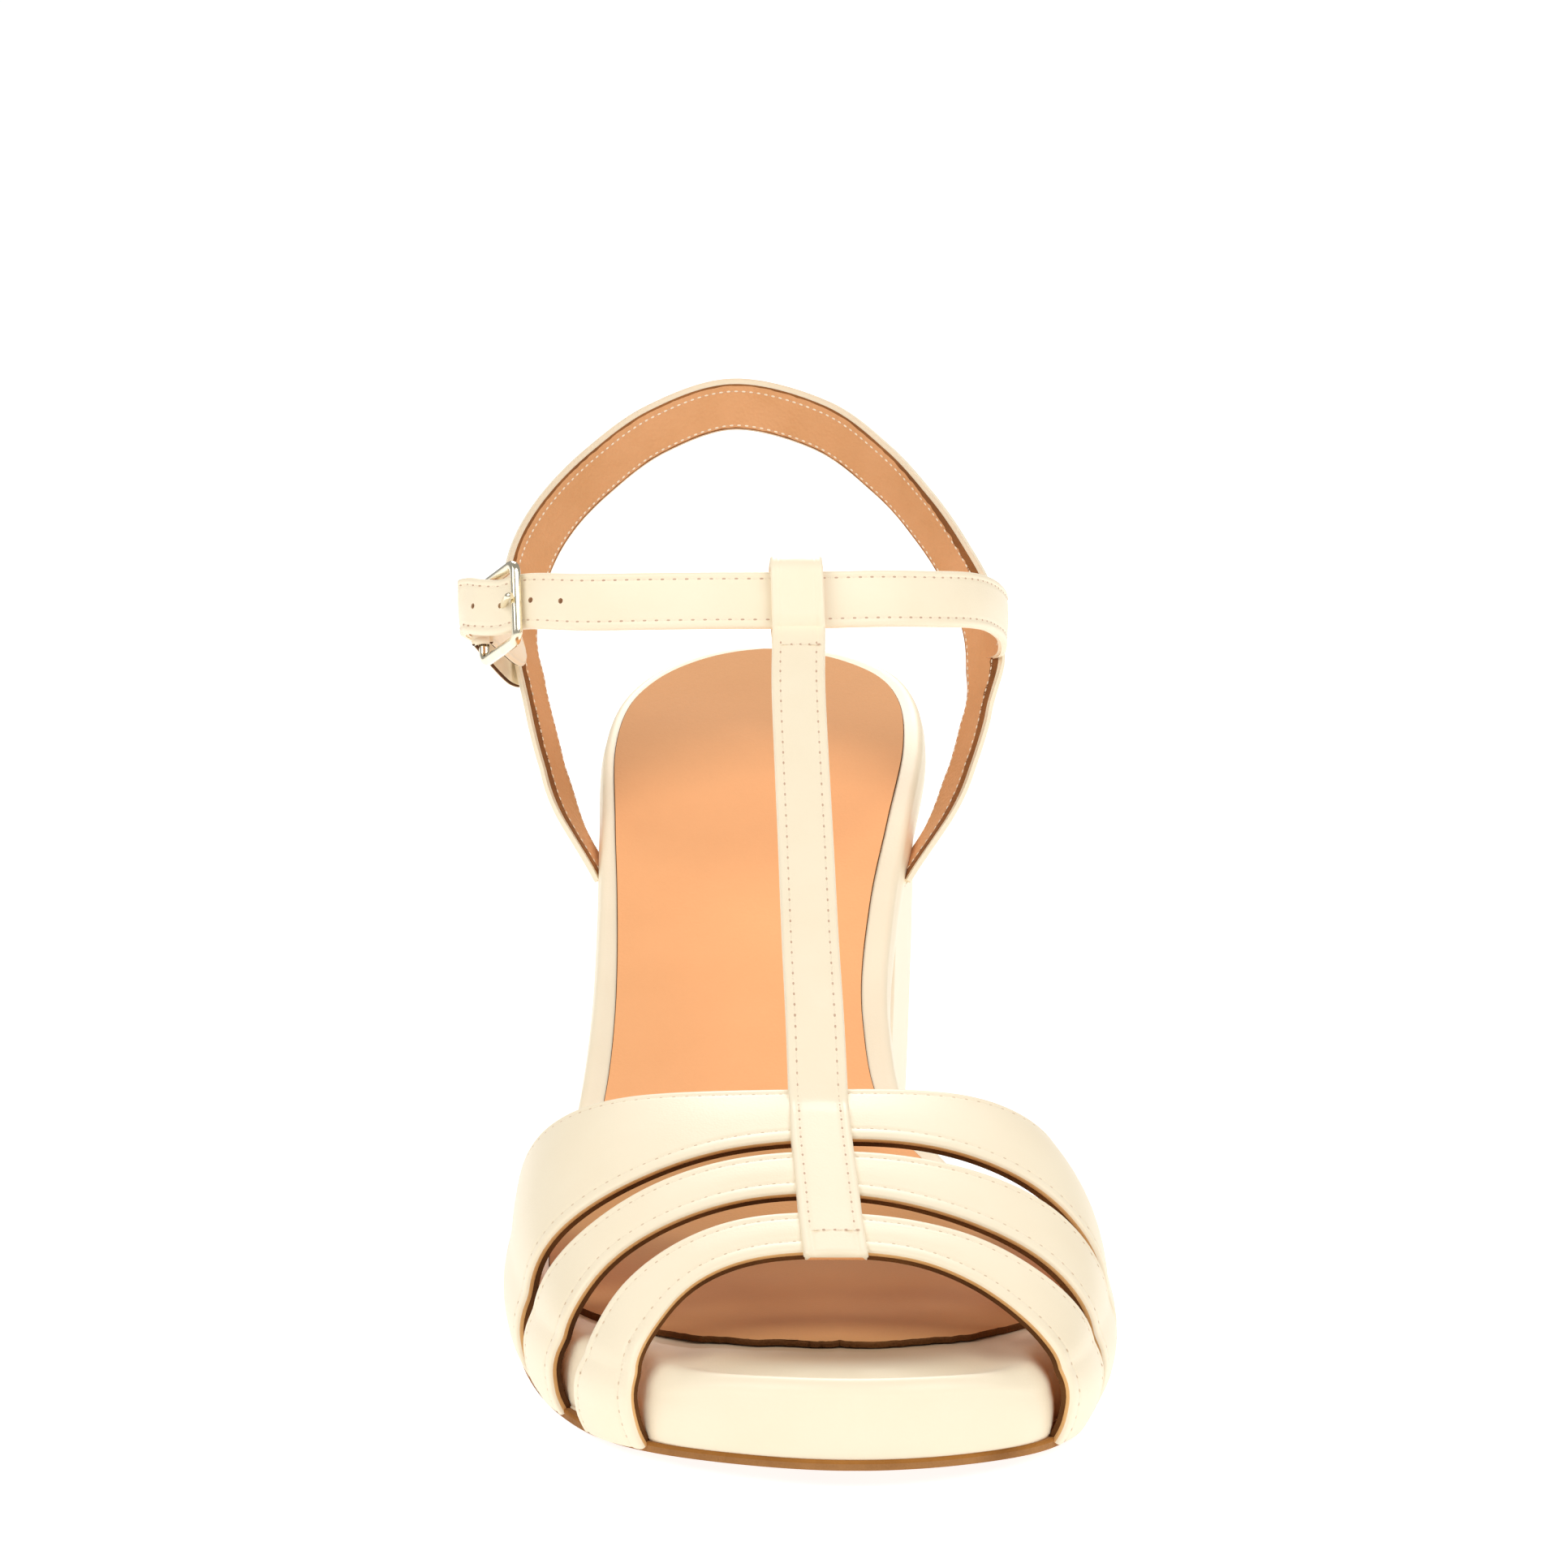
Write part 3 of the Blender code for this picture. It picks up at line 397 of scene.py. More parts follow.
CLOUD_DETAIL = 4.0
CLOUD_STOPS = (0.3, 0.65)
GLOSS_SPREAD = (-0.06, 0.08)
CREASE_SHARE = 0.35
CREASE_DETAIL = 5.0
GRAIN_HEIGHT = 0.0004
COAT_ROUGHNESS = 0.3
SHEEN_ROUGHNESS = 0.5
METAL_COLOUR = (0.90, 0.84, 0.68)
METAL_TINT = (0.80, 0.71, 0.50)
METAL_GLOSS = (0.12, 0.26)
METAL_SCALE = 700.0
METAL_DETAIL = 6.0

# Painted shade on the sock along the shoe, where the bands darken the toe and the straps cast shadow at the
# heel, as shares of its own colour
SOCK_SHADE = table(
    "from_toe red green blue",
    (20.0, 0.58, 0.60, 0.54),
    (104.0, 0.60, 0.62, 0.56),
    (123.0, 1.0, 1.0, 1.0),
    (186.0, 1.0, 1.0, 1.0),
    (208.0, 0.70, 0.72, 0.74),
    (240.0, 0.74, 0.77, 0.80),
)
SOCK_SHADE_BEND = 22.0
SOCK_SHADE_CLOUD = 45.0
SOCK_SHADE_UNEVEN = 0.012

# Painted shade in the fold of the wrapped leather in front of the sock, under the toe band: its middle, its
# reach and the share of colour left there
FOLD_SHADE_MIDDLE = Vector((9.0, 21.0, 12.0))
FOLD_SHADE_REACH = Vector((34.0, 14.0, 40.0))
FOLD_SHADE_TONE = (0.50, 0.39, 0.31)
FOLD_SHADE_FULL = 0.8

# Stage: floor, light and the camera where the photograph was taken from
WHITE = (1.0, 1.0, 1.0, 1.0)
FLOOR_SIZE = 40.0
FLOOR_GLOW = 0.86
WORLD_LIGHT = 0.35
LIT_POINT = Vector((0, 0, 0.05))
LAMPS = table(
    "name place size power",
    ("left_softbox", Vector((-0.8, -0.6, 1.0)), 0.9, 8.4),
    ("right_softbox", Vector((0.8, -0.6, 1.0)), 0.9, 8.4),
    ("back_softbox", Vector((0.0, 1.1, 0.92)), 0.4, 9.0),
)
CAMERA_PLACE = Vector((-0.4, -562.66, 198.0))
CAMERA_PITCH = 10.55
CAMERA_LENS = 104.5
CAMERA_SENSOR = 36.0
CAMERA_SEES = 200.0


def blend(rows, column, at):
    """Value of a table's column at a place between rows: a smooth curve, flat between equal rows."""
    places = [row[0] for row in rows]
    values = [getattr(row, column) for row in rows]
    rises = [(v1 - v0) / (p1 - p0) for p0, p1, v0, v1 in zip(places, places[1:], values, values[1:])]

    def slope(i):
        if i == 0 or i == len(rows) - 1:
            return rises[min(i, len(rises) - 1)]
        if rises[i - 1] == 0 or rises[i] == 0:
            return 0.0
        before = places[i] - places[i - 1]
        after = places[i + 1] - places[i]
        return (rises[i - 1] * after + rises[i] * before) / (before + after)

    at = min(max(at, places[0]), places[-1])
    i = min(bisect_right(places, at) - 1, len(rows) - 2)
    span = places[i + 1] - places[i]
    t = (at - places[i]) / span
    return (
        (2 * t**3 - 3 * t**2 + 1) * values[i]
        + (t**3 - 2 * t**2 + t) * span * slope(i)
        + (3 * t**2 - 2 * t**3) * values[i + 1]
        + (t**3 - t**2) * span * slope(i + 1)
    )


def ease(at, start, end):
    """Smooth step from 0 at start to 1 at end."""
    share = min(max((at - start) / (end - start), 0.0), 1.0)
    return share * share * (3 - 2 * share)


def through(points, t):
    """Point of a Catmull-Rom curve through a list of vectors, t from 0 to 1."""
    place = t * (len(points) - 1)
    i = min(int(place), len(points) - 2)
    t = place - i
    p1, p2 = points[i], points[i + 1]
    p0 = points[i - 1] if i > 0 else p1 * 2 - p2
    p3 = points[i + 2] if i + 2 < len(points) else p2 * 2 - p1
    return 0.5 * (
        2 * p1 + (p2 - p0) * t + (2 * p0 - 5 * p1 + 4 * p2 - p3) * t**2 + (3 * p1 - p0 - 3 * p2 + p3) * t**3
    )


def heading(points, t, reach=0.004):
    """Direction of the curve through a list of vectors."""
    return (through(points, min(t + reach, 1.0)) - through(points, max(t - reach, 0.0))).normalized()


def ways(points):
    """Way travelled along a list of points at each of them."""
    steps = ((after - before).length for before, after in zip(points, points[1:]))
    return list(accumulate(steps, initial=0.0))


def turn(from_toe):
    """Half-turn coordinate along the shoe, which makes the rounded ends smooth."""
    return math.acos(max(-1.0, min(1.0, 1 - 2 * from_toe / SHOE_LENGTH)))


OUTLINE_BY_TURN = [row._replace(from_toe=turn(row.from_toe)) for row in OUTLINE]


def footbed_edges(y):
    """Lateral and medial edge of the footbed."""
    return blend(OUTLINE_BY_TURN, "lateral", turn(y)), blend(OUTLINE_BY_TURN, "medial", turn(y))


def footbed_top(x, y):
    """Height of the footbed's upper face, dished towards the middle."""
    lateral, medial = footbed_edges(y)
    half = max((medial - lateral) / 2, 0.1)
    across = min(abs(x - (lateral + medial) / 2) / half, 1.0)
    return blend(PROFILE, "top", y) - blend(PROFILE, "dish", y) * (1 - across**2)


def footbed_bottom(y):
    """Height of the footbed's lower face."""
    return blend(PROFILE, "top", y) - blend(PROFILE, "footbed", y)


def last_section(y):
    """Cross-section of the last over the toes: centre, half width, springing height and rise."""
    lateral, medial = footbed_edges(y)
    spring = blend(PROFILE, "top", y) - SHOULDER_DROP
    rise = blend(RIDGE, "crown", y) - spring
    half = (medial - lateral) / 2 + LAST_CLEARANCE
    return (lateral + medial) / 2, half, spring, rise


def squareness_at(y, medial):
    """How square the last's section is on its lateral or its medial side."""
    return blend(RIDGE, "medial_squareness" if medial else "lateral_squareness", y)


def last_point(y, around):
    """Point of the last: around runs from the lateral sole (0) over the ridge to the medial sole (1)."""
    centre, half, spring, rise = last_section(y)
    squareness = squareness_at(y, around > 0.5)
    side = min(around, 1 - around) / SIDE_SHARE
    if side < 1:
        foot = footbed_bottom(y)
        return Vector((centre + math.copysign(half, around - 0.5), y, foot + (spring - foot) * side))
    angle = math.pi * (around - SIDE_SHARE) / (1 - 2 * SIDE_SHARE)
    cosine = math.cos(angle)
    across = math.copysign(abs(cosine) ** (2 / squareness), cosine)
    up = max(math.sin(angle), 0.0) ** (2 / squareness)
    return Vector((centre - half * across, y, spring + rise * up))


def last_height(x, y):
    """Height of the last above a point of the plan."""
    centre, half, spring, rise = last_section(y)
    squareness = squareness_at(y, x > centre)
    return spring + rise * (1 - abs((x - centre) / half) ** squareness) ** (1 / squareness)


def along_shoe(v, first, last):
    """Place along the shoe, closer together at the rounded ends."""
    start, end = turn(first), turn(last)
    return SHOE_LENGTH / 2 * (1 - math.cos(start + (end - start) * v))


def strap_frame(rows, t):
    """Point, strap direction, width direction and half widths of a strap at t from 0 to 1."""
    centres = [Vector((row.side, row.from_toe, row.height)) for row in rows]
    ahead = heading(centres, t)
    lean, above, below = through([Vector((row.lean, row.above, row.below)) for row in rows], t)
    upright = (Vector((0, 0, 1)) - ahead * ahead.z).normalized()
    width = Matrix.Rotation(math.radians(lean), 3, ahead) @ upright
    return through(centres, t), ahead, width, above, below


def buckle_point(back, rise, out):
    """Point in the buckle's own directions, measured from the rear bar."""
    return BUCKLE_REAR_BAR + BUCKLE_BACK * back + BUCKLE_UP * rise + BUCKLE_OUT * out


def tab_point(along, rise, out):
    """Point in the directions of the buckle's tab, which turns from the rear bar towards the heel strap."""
    turned = math.radians(TAB_TURN)
    back = along * math.cos(turned) + out * math.sin(turned)
    return buckle_point(back, rise, out * math.cos(turned) - along * math.sin(turned))


def ankle_rows():
    """Ankle strap from the medial side, round the front and through the buckle to its free end."""
    points = [buckle_point(row.share * BUCKLE_REACH, row.rise, row.out) for row in THROUGH_BUCKLE]
    points += [tab_point(*row) for row in TAIL]
    rows = list(ANKLE_STRAP)
    for before, point, after in zip(points[:1] + points, points, points[1:] + points[-1:]):
        ahead = (after - before).normalized()
        upright = Vector((0, 0, 1)) - ahead * ahead.z
        lean = math.atan2(BUCKLE_UP.dot(ahead.cross(upright)), BUCKLE_UP.dot(upright))
        rows.append(Strap(*point, math.degrees(lean)))
    return rows


def feed(made, node, feeds):
    """Gives a node its inputs: outputs of other nodes are linked, values are set on the socket."""
    for key, value in feeds.items():
        if isinstance(value, bpy.types.NodeSocket):
            made.node_tree.links.new(value, node.inputs[key])
        else:
            node.inputs[key].default_value = value
    return node


def add_node(made, kind, feeds):
    """Adds a node to a finish."""
    return feed(made, made.node_tree.nodes.new("ShaderNode" + kind), feeds)


def add_math(made, operation, *values):
    """Adds a sum or a product of outputs and numbers to a finish."""
    node = made.node_tree.nodes.new("ShaderNodeMath")
    node.operation = operation
    return feed(made, node, dict(enumerate(values))).outputs["Value"]


def add_ramp(made, factor, stops, interpolation="LINEAR"):
    """Adds colours along a factor to a finish, given as stops of place and colour."""
    node = add_node(made, "ValToRGB", {"Fac": factor})
    node.color_ramp.interpolation = interpolation
    for place, _ in stops[1:-1]:
        node.color_ramp.elements.new(place)
    for element, (place, colour) in zip(node.color_ramp.elements, stops):
        element.position = place
        element.color = (*colour, 1.0)
    return node.outputs["Color"]


def shader_of(made):
    """Shader of a finish."""
    return made.node_tree.nodes["Principled BSDF"]


def clouded(name, scale, detail, stops, gloss):
    """New finish whose colour and gloss are clouded by one noise, and its places."""
    made = bpy.data.materials.new(name)
    made.use_nodes = True
    place = add_node(made, "TexCoord", {}).outputs["Object"]
    cloud = add_node(made, "TexNoise", {"Vector": place, "Scale": scale, "Detail": detail}).outputs["Fac"]
    rough = add_node(made, "MapRange", {"Value": cloud, "To Min": gloss[0], "To Max": gloss[1]})
    colour = add_ramp(made, cloud, stops)
    feed(made, shader_of(made), {"Base Color": colour, "Roughness": rough.outputs["Result"]})
    return made, place


def leather(name, colour, shade, roughness, grain, depth, specular=0.5, coat=0.0, sheen=0.0):
    """Leather: two clouded tones, pores and fine wrinkles in bump, a slightly uneven gloss."""
    gloss = [roughness + spread for spread in GLOSS_SPREAD]
    stops = list(zip(CLOUD_STOPS, (shade, colour)))
    made, place = clouded(name, CLOUD_SCALE, CLOUD_DETAIL, stops, gloss)
    pores = add_node(made, "TexVoronoi", {"Vector": place, "Scale": grain})
    finer = {"Scale": grain * CREASE_SHARE, "Detail": CREASE_DETAIL}
    creases = add_node(made, "TexNoise", {"Vector": place, **finer})
    relief = add_math(made, "ADD", pores.outputs["Distance"], creases.outputs["Fac"])
    bump = add_node(made, "Bump", {"Height": relief, "Strength": depth, "Distance": GRAIN_HEIGHT})
    feed(made, shader_of(made), {
        "Normal": bump.outputs["Normal"],
        "Specular IOR Level": specular,
        "Coat Weight": coat,
        "Coat Roughness": COAT_ROUGHNESS,
        "Sheen Weight": sheen,
        "Sheen Roughness": SHEEN_ROUGHNESS,
    })
    return made


def deepen(made, tone):
    """Multiplies a finish's colour by a tone from its own nodes."""
    both = made.node_tree.nodes.new("ShaderNodeMix")
    both.data_type = "RGBA"
    both.blend_type = "MULTIPLY"
    colour = shader_of(made).inputs["Base Color"].links[0].from_socket
    feed(made, both, {"Factor": 1.0, "A": colour, "B": tone})
    feed(made, shader_of(made), {"Base Color": both.outputs["Result"]})
    return made


def paint_sock_shade(made):
    """Paints shade into the sock's colour towards the toe and the heel, along the shoe and a little further
    out at its sides.
    """
    place = add_node(made, "TexCoord", {}).outputs["Object"]
    split = add_node(made, "SeparateXYZ", {"Vector": place}).outputs
    aside = add_math(made, "MULTIPLY", split["X"], split["X"])
    reach = add_math(made, "MULTIPLY_ADD", aside, SOCK_SHADE_BEND, split["Y"])
    cloud = add_node(made, "TexNoise", {"Vector": place, "Scale": SOCK_SHADE_CLOUD}).outputs["Fac"]
    uneven = add_math(made, "MULTIPLY_ADD", cloud, SOCK_SHADE_UNEVEN, reach)
    first, last = SOCK_SHADE[0].from_toe, SOCK_SHADE[-1].from_toe
    limits = {"From Min": first * MM - ORIGIN.y * MM, "From Max": last * MM - ORIGIN.y * MM}
    along = add_node(made, "MapRange", {"Value": uneven, **limits}).outputs["Result"]
    stops = [((row.from_toe - first) / (last - first), row[1:]) for row in SOCK_SHADE]
    return deepen(made, add_ramp(made, along, stops, "EASE"))


def paint_fold_shade(made):
    """Paints shade into the wrapped leather's colour in the fold between the toe pad and the sock."""
    place = add_node(made, "TexCoord", {}).outputs["Object"]
    spot = made.node_tree.nodes.new("ShaderNodeMapping")
    spot.vector_type = "TEXTURE"
    feed(made, spot, {"Vector": place, "Location": (FOLD_SHADE_MIDDLE - ORIGIN) * MM, "Scale": FOLD_SHADE_REACH * MM})
    oval = add_node(made, "TexGradient", {"Vector": spot.outputs["Vector"]})
    oval.gradient_type = "SPHERICAL"
    stops = ((0.0, WHITE[:3]), (FOLD_SHADE_FULL, FOLD_SHADE_TONE))
    return deepen(made, add_ramp(made, oval.outputs["Fac"], stops, "EASE"))


def finishes():
    """Every finish by name."""
    coats = {name: leather(name, *row) for name, row in LEATHERS.items()}
    # the sock's colour carries painted shade at the toe and at the heel
    paint_sock_shade(coats["sock_leather"])
    # the wrapped leather is the cream leather with painted shade in the fold at the toe
    coats["wrapped_leather_shaded"] = paint_fold_shade(leather("wrapped_leather_shaded", *LEATHERS["cream_leather"]))
    stops = ((0.0, METAL_TINT), (1.0, METAL_COLOUR))
    metal, _ = clouded("pale_gold", METAL_SCALE, METAL_DETAIL, stops, METAL_GLOSS)
    feed(metal, shader_of(metal), {"Metallic": 1.0})
    coats["pale_gold"] = metal
    return coats


def put(name, data):
    """New object in the scene."""
    made = bpy.data.objects.new(name, data)
    bpy.context.scene.collection.objects.link(made)
    return made


def add_piece(name, points, faces, marks, coats, node, slot="cream_leather"):
    """Mesh piece from points in millimetres, smooth, riding on the shoe and standing for a node."""
    data = bpy.data.meshes.new(name)
    data.from_pydata([(point - ORIGIN) * MM for point in points], [], faces)
    for coat in coats:
        data.materials.append(coat)
    data.polygons.foreach_set("material_index", marks)
    built = bmesh.new()
    built.from_mesh(data)
    bmesh.ops.recalc_face_normals(built, faces=built.faces)
    built.to_mesh(data)
    built.free()
    data.polygons.foreach_set("use_smooth", [True] * len(data.polygons))
    data.set_sharp_from_angle(angle=SHARP_FROM)
    made = put(name, data)
    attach(made, "root")
    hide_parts(node)
    return made


def loft(rings, closed=False):
    """Points, faces and marks of a skin over rings of (point, mark), capped at its ends unless closed."""
    count = len(rings[0])
    points = [point for ring in rings for point, _ in ring]
    faces, marks = [], []
    spans = list(zip(range(len(rings)), range(1, len(rings))))
    if closed:
        spans.append((len(rings) - 1, 0))
    for here, there in spans:
        for k in range(count):
            after = (k + 1) % count
            faces.append((here * count + k, here * count + after, there * count + after, there * count + k))
            marks.append(max(rings[here][k][1], rings[here][after][1]))
    if not closed:
        for ring in (0, len(rings) - 1):
            faces.append(tuple(ring * count + k for k in range(count)))
            marks.append(rings[ring][0][1])
    return points, faces, marks


def section(width, make, dark_low, dark_high, wrinkle=0.0):
    """Cross-section of a lined strap, once round: place across, height above its lining, mark."""
    wall, lining = make.wall, make.lining
    half = width / 2

    def outer(stitch, inset):
        # the amber rows carry painted shade of the rolled edge
        amber_top = lining + make.amber
        side = AMBER if make.amber else CREAM
        rolled = [(inset, lining, side), (0.05, lining + 0.06, side), (0.0, amber_top + 0.02, side)]
        rolled.append((0.03, amber_top + 0.14, CREAM))
        rolled += [(place, wall - drop, CREAM) for place, drop in ROLLED_EDGE]
        trough = [(stitch + apart, wall - STITCH_TROUGH * share, CREAM) for apart, share in TROUGH]
        rolled += [row for row in trough if row[0] > TROUGH_FROM]
        flat = max(stitch, ROLL_WIDTH) + ROLL_WIDTH
        for step in range(CROWN_STEPS):
            share = step / CROWN_STEPS
            height = wall + CROWN * math.sin(share * math.pi / 2)
            rolled.append((flat + (half - flat) * share, height, CREAM))
        return [row for row in rolled if row[0] < half]

    def inner(inset, dark):
        cut = EDGE if dark else CREAM
        ends = inset + max(dark, LEAST_CUT)
        rows = [(inset, lining - 0.05, cut), (inset + 0.03, 0.12, cut), (ends, 0.0, cut)]
        rows.append((ends + 0.02, 0.0, LINING))
        rows += [(ends + (half - ends) * share, wrinkle * lift, LINING) for share, lift in LINING_WAVES]
        return rows

    ring = outer(make.stitch_low, make.inset_low) + [(half, wall + CROWN, CREAM)]
    upper = outer(make.stitch_high, make.inset_high)[::-1] + inner(make.inset_high, dark_high)
    ring += [(width - place, height, mark) for place, height, mark in upper]
    return ring + inner(make.inset_low, dark_low)[::-1]


def spaced(point_at, fine_start=False, fine_end=False):
    """Stations along a curve at an even step: its parameter, and the way from its start and to its end."""
    travelled = ways([point_at(i / CURVE_SAMPLES) for i in range(CURVE_SAMPLES + 1)])
    total = travelled[-1]
    count = round(total / STRAP_STEP)
    wanted = [total * i / count for i in range(count + 1)]
    if fine_start:
        wanted += FINE_END
    if fine_end:
        wanted += [total - way for way in FINE_END]
    stations = []
    for way in sorted(wanted):
        i = min(bisect_right(travelled, way), CURVE_SAMPLES)
        share = (way - travelled[i - 1]) / max(travelled[i] - travelled[i - 1], 1e-9)
        stations.append((min((i - 1 + share) / CURVE_SAMPLES, 1.0), way, total - way))
    return stations


def quarter_round(way, reach):
    """Share kept at a way from an end that is rounded over a reach."""
    return math.sqrt(max(1 - max(1 - way / reach, 0.0) ** 2, 0.0))


def strip(stations, frame_at, make, start_corner=None, end_corner=None, cut=None, taper=None):
    """Rings of a lined strap, its ends rounded where a corner is given, its lining cut as a table says."""
    rings = []
    for t, from_start, to_end in stations:
        width, lay = frame_at(t)
        half, middle = width / 2, make.wall / 2
        low, high, wrinkle = make.dark_low, make.dark_high, 0.0
        if cut:
            torn = 1 + RAGGED * noise.noise(Vector((from_start * RAGGED_SCALE, 0.3, 0.7)))
            low, high = low * torn, blend(cut, "high", t) * torn
            wrinkle = LINING_WRINKLE * noise.noise(Vector((from_start * WRINKLE_SCALE, 5.1, 0.2)))
        ring = section(width, make, low, high, wrinkle)
        for way, corner in ((from_start, start_corner), (to_end, end_corner)):
            if corner and way < max(corner, taper or 0) + 1.0:
                thin = max(quarter_round(way, END_ROLL), 0.04)
                if taper:
                    kept = max(quarter_round(way, taper), 0.1)
                else:
                    drawn = corner - math.sqrt(max(corner**2 - max(corner - way, 0.0) ** 2, 0.0))
                    kept = (half - drawn) / half
                ring = [
                    (half + (place - half) * kept, middle + (height - middle) * thin, mark)
                    for place, height, mark in ring
                ]
        rings.append([(lay(place, height), mark) for place, height, mark in ring])
    return rings


def stitch_rows(stations, frame_at, low, high, height, pitch, inside=False):
    """Stitches along a strap: one row at a distance from its lower edge, one from its upper edge."""
    stitches = []
    for place_of in (lambda width: low, lambda width: width - high):
        line = []
        for t, _, _ in stations:
            width, lay = frame_at(t)
            across = place_of(width)
            point = lay(across, height)
            line.append((point, (lay(across, height + 1.0) - point) * (-1 if inside else 1)))
        way, travelled = pitch / 2, 0.0
        for (p0, n0), (p1, n1) in zip(line, line[1:]):
            span = (p1 - p0).length
            while span > 0 and way <= travelled + span:
                share = (way - travelled) / span
                out = n0.lerp(n1, share).normalized()
                stitches.append(Stitch(p0.lerp(p1, share), (p1 - p0).normalized(), out))
                way += pitch
            travelled += span
    return stitches


def cross_row(frame_at, t, low, high, height):
    """Stitches across a strap at one place, between distances from its two edges."""
    width, lay = frame_at(t)
    last = width - high
    count = round((last - low) / CROSS_PITCH)
    row = []
    for k in range(count):
        middle = low + (last - low) * (k + 0.5) / count
        point = lay(middle, height)
        ahead = (lay(middle + 0.5, height) - point).normalized()
        row.append(Stitch(point, ahead, (lay(middle, height + 1.0) - point).normalized()))
    return row


def bead(mesh, middle, stitch, sizes, mark):
    """Adds a small rounded bead to a mesh: sizes along and across the stitch and out of the leather."""
    points, faces, marks = mesh
    side = stitch.out.cross(stitch.ahead).normalized()
    first = len(points)
    around = 8
    for lift, share in BEAD_RINGS:
        for k in range(around):
            angle = 2 * math.pi * k / around
            points.append(
                middle
                + stitch.ahead * (sizes[0] * share * math.cos(angle))
                + side * (sizes[1] * share * math.sin(angle))
                + stitch.out * (sizes[2] * lift)
            )
    points += [middle + stitch.out * sizes[2], middle - stitch.out * sizes[2]]
    for low in (first, first + around):
        for k in range(around):
            after = (k + 1) % around
            faces.append((low + k, low + after, low + around + after, low + around + k))
    top = first + 3 * around
    for k in range(around):
        after = (k + 1) % around
        faces.append((top - around + k, top - around + after, top))
        faces.append((first + after, first + k, top + 1))
    marks += [mark] * (4 * around)


def sew(name, jobs, coats, node):
    """Thread and needle holes of a piece's stitches, jobs being rows of stitches with their sewing."""
    mesh = [], [], []
    pins = sorted({sewing.pin for _, sewing in jobs})
    for stitches, sewing in jobs:
        thread = (sewing.length, sewing.width, sewing.height)
        hole = (sewing.hole_length, sewing.hole_width, HOLE_HEIGHT)
        for stitch in stitches:
            bead(mesh, stitch.middle, stitch, thread, 0)
            beside = stitch.middle + stitch.ahead * (sewing.pitch / 2)
            bead(mesh, beside, stitch, hole, 1 + pins.index(sewing.pin))
    threads = (coats["thread"], *(coats[pin] for pin in pins))
    return add_piece(name, *mesh, threads, node)


def crowded(k, count):
    """Place across a block, closer together at its edges."""
    return (1 - math.cos(math.pi * k / count)) / 2


def shell(across, along, top, bottom, levels, bottom_mark=0):
    """Closed block between two sheets of (u, v), its wall in levels of (share down, outset, mark)."""
    points, faces, marks = [], [], []
    for sheet in (top, bottom):
        for j in range(along + 1):
            points.extend(sheet(crowded(i, across), j / along) for i in range(across + 1))
    row, count = across + 1, (across + 1) * (along + 1)
    for j in range(along):
        for i in range(across):
            quad = (j * row + i, j * row + i + 1, (j + 1) * row + i + 1, (j + 1) * row + i)
            faces += [quad, tuple(count + corner for corner in reversed(quad))]
            marks += [0, bottom_mark]
    rim = list(range(across + 1))
    rim += [j * row + across for j in range(1, along + 1)]
    rim += [along * row + i for i in range(across - 1, -1, -1)]
    rim += [j * row for j in range(along - 1, 0, -1)]
    size = len(rim)
    outward = []
    for k in range(size):
        run = points[rim[(k + 1) % size]] - points[rim[k - 1]]
        outward.append(Vector((run.y, -run.x, 0)).normalized())
    loops = [rim]
    for share, outset, _ in levels:
        loops.append(list(range(len(points), len(points) + size)))
        for corner, out in zip(rim, outward):
            points.append(points[corner].lerp(points[count + corner], share) + out * outset)
    loops.append([count + corner for corner in rim])
    wall_marks = [mark for _, _, mark in levels] + [levels[-1][2]]
    for upper, lower, mark in zip(loops, loops[1:], wall_marks):
        for k in range(size):
            after = (k + 1) % size
            faces.append((upper[k], lower[k], lower[after], upper[after]))
            marks.append(mark)
    return points, faces, marks


def wrapped_edges(y):
    """Edges of the wrapped footbed, drawn in where the toe band presses on it."""
    lateral, medial = footbed_edges(y)
    pressed = [
        pinch.depth * math.exp(-(((y - pinch.from_toe) / pinch.reach) ** 2))
        for pinch in (LATERAL_PINCH, MEDIAL_PINCH)
    ]
    return lateral + pressed[0], medial - pressed[1]


def outline_distance(places):
    """Distance of plan places from the wrapped footbed's outline."""
    count = 360
    ys = [along_shoe(i / count, 0.0, SHOE_LENGTH) for i in range(count + 1)]
    edges = [wrapped_edges(y) for y in ys]
    ring = [(lateral, y) for (lateral, _), y in zip(edges, ys)]
    ring += [(medial, y) for (_, medial), y in zip(reversed(edges), reversed(ys))]
    start = np.array(ring)
    run = np.roll(start, -1, axis=0) - start
    spans = np.maximum((run**2).sum(axis=1), 1e-9)
    distances = []
    for place in places:
        gap = np.array(place) - start
        share = np.clip((gap * run).sum(axis=1) / spans, 0.0, 1.0)
        nearest = gap - run * share[:, None]
        distances.append(float(np.sqrt((nearest**2).sum(axis=1).min())))
    return distances


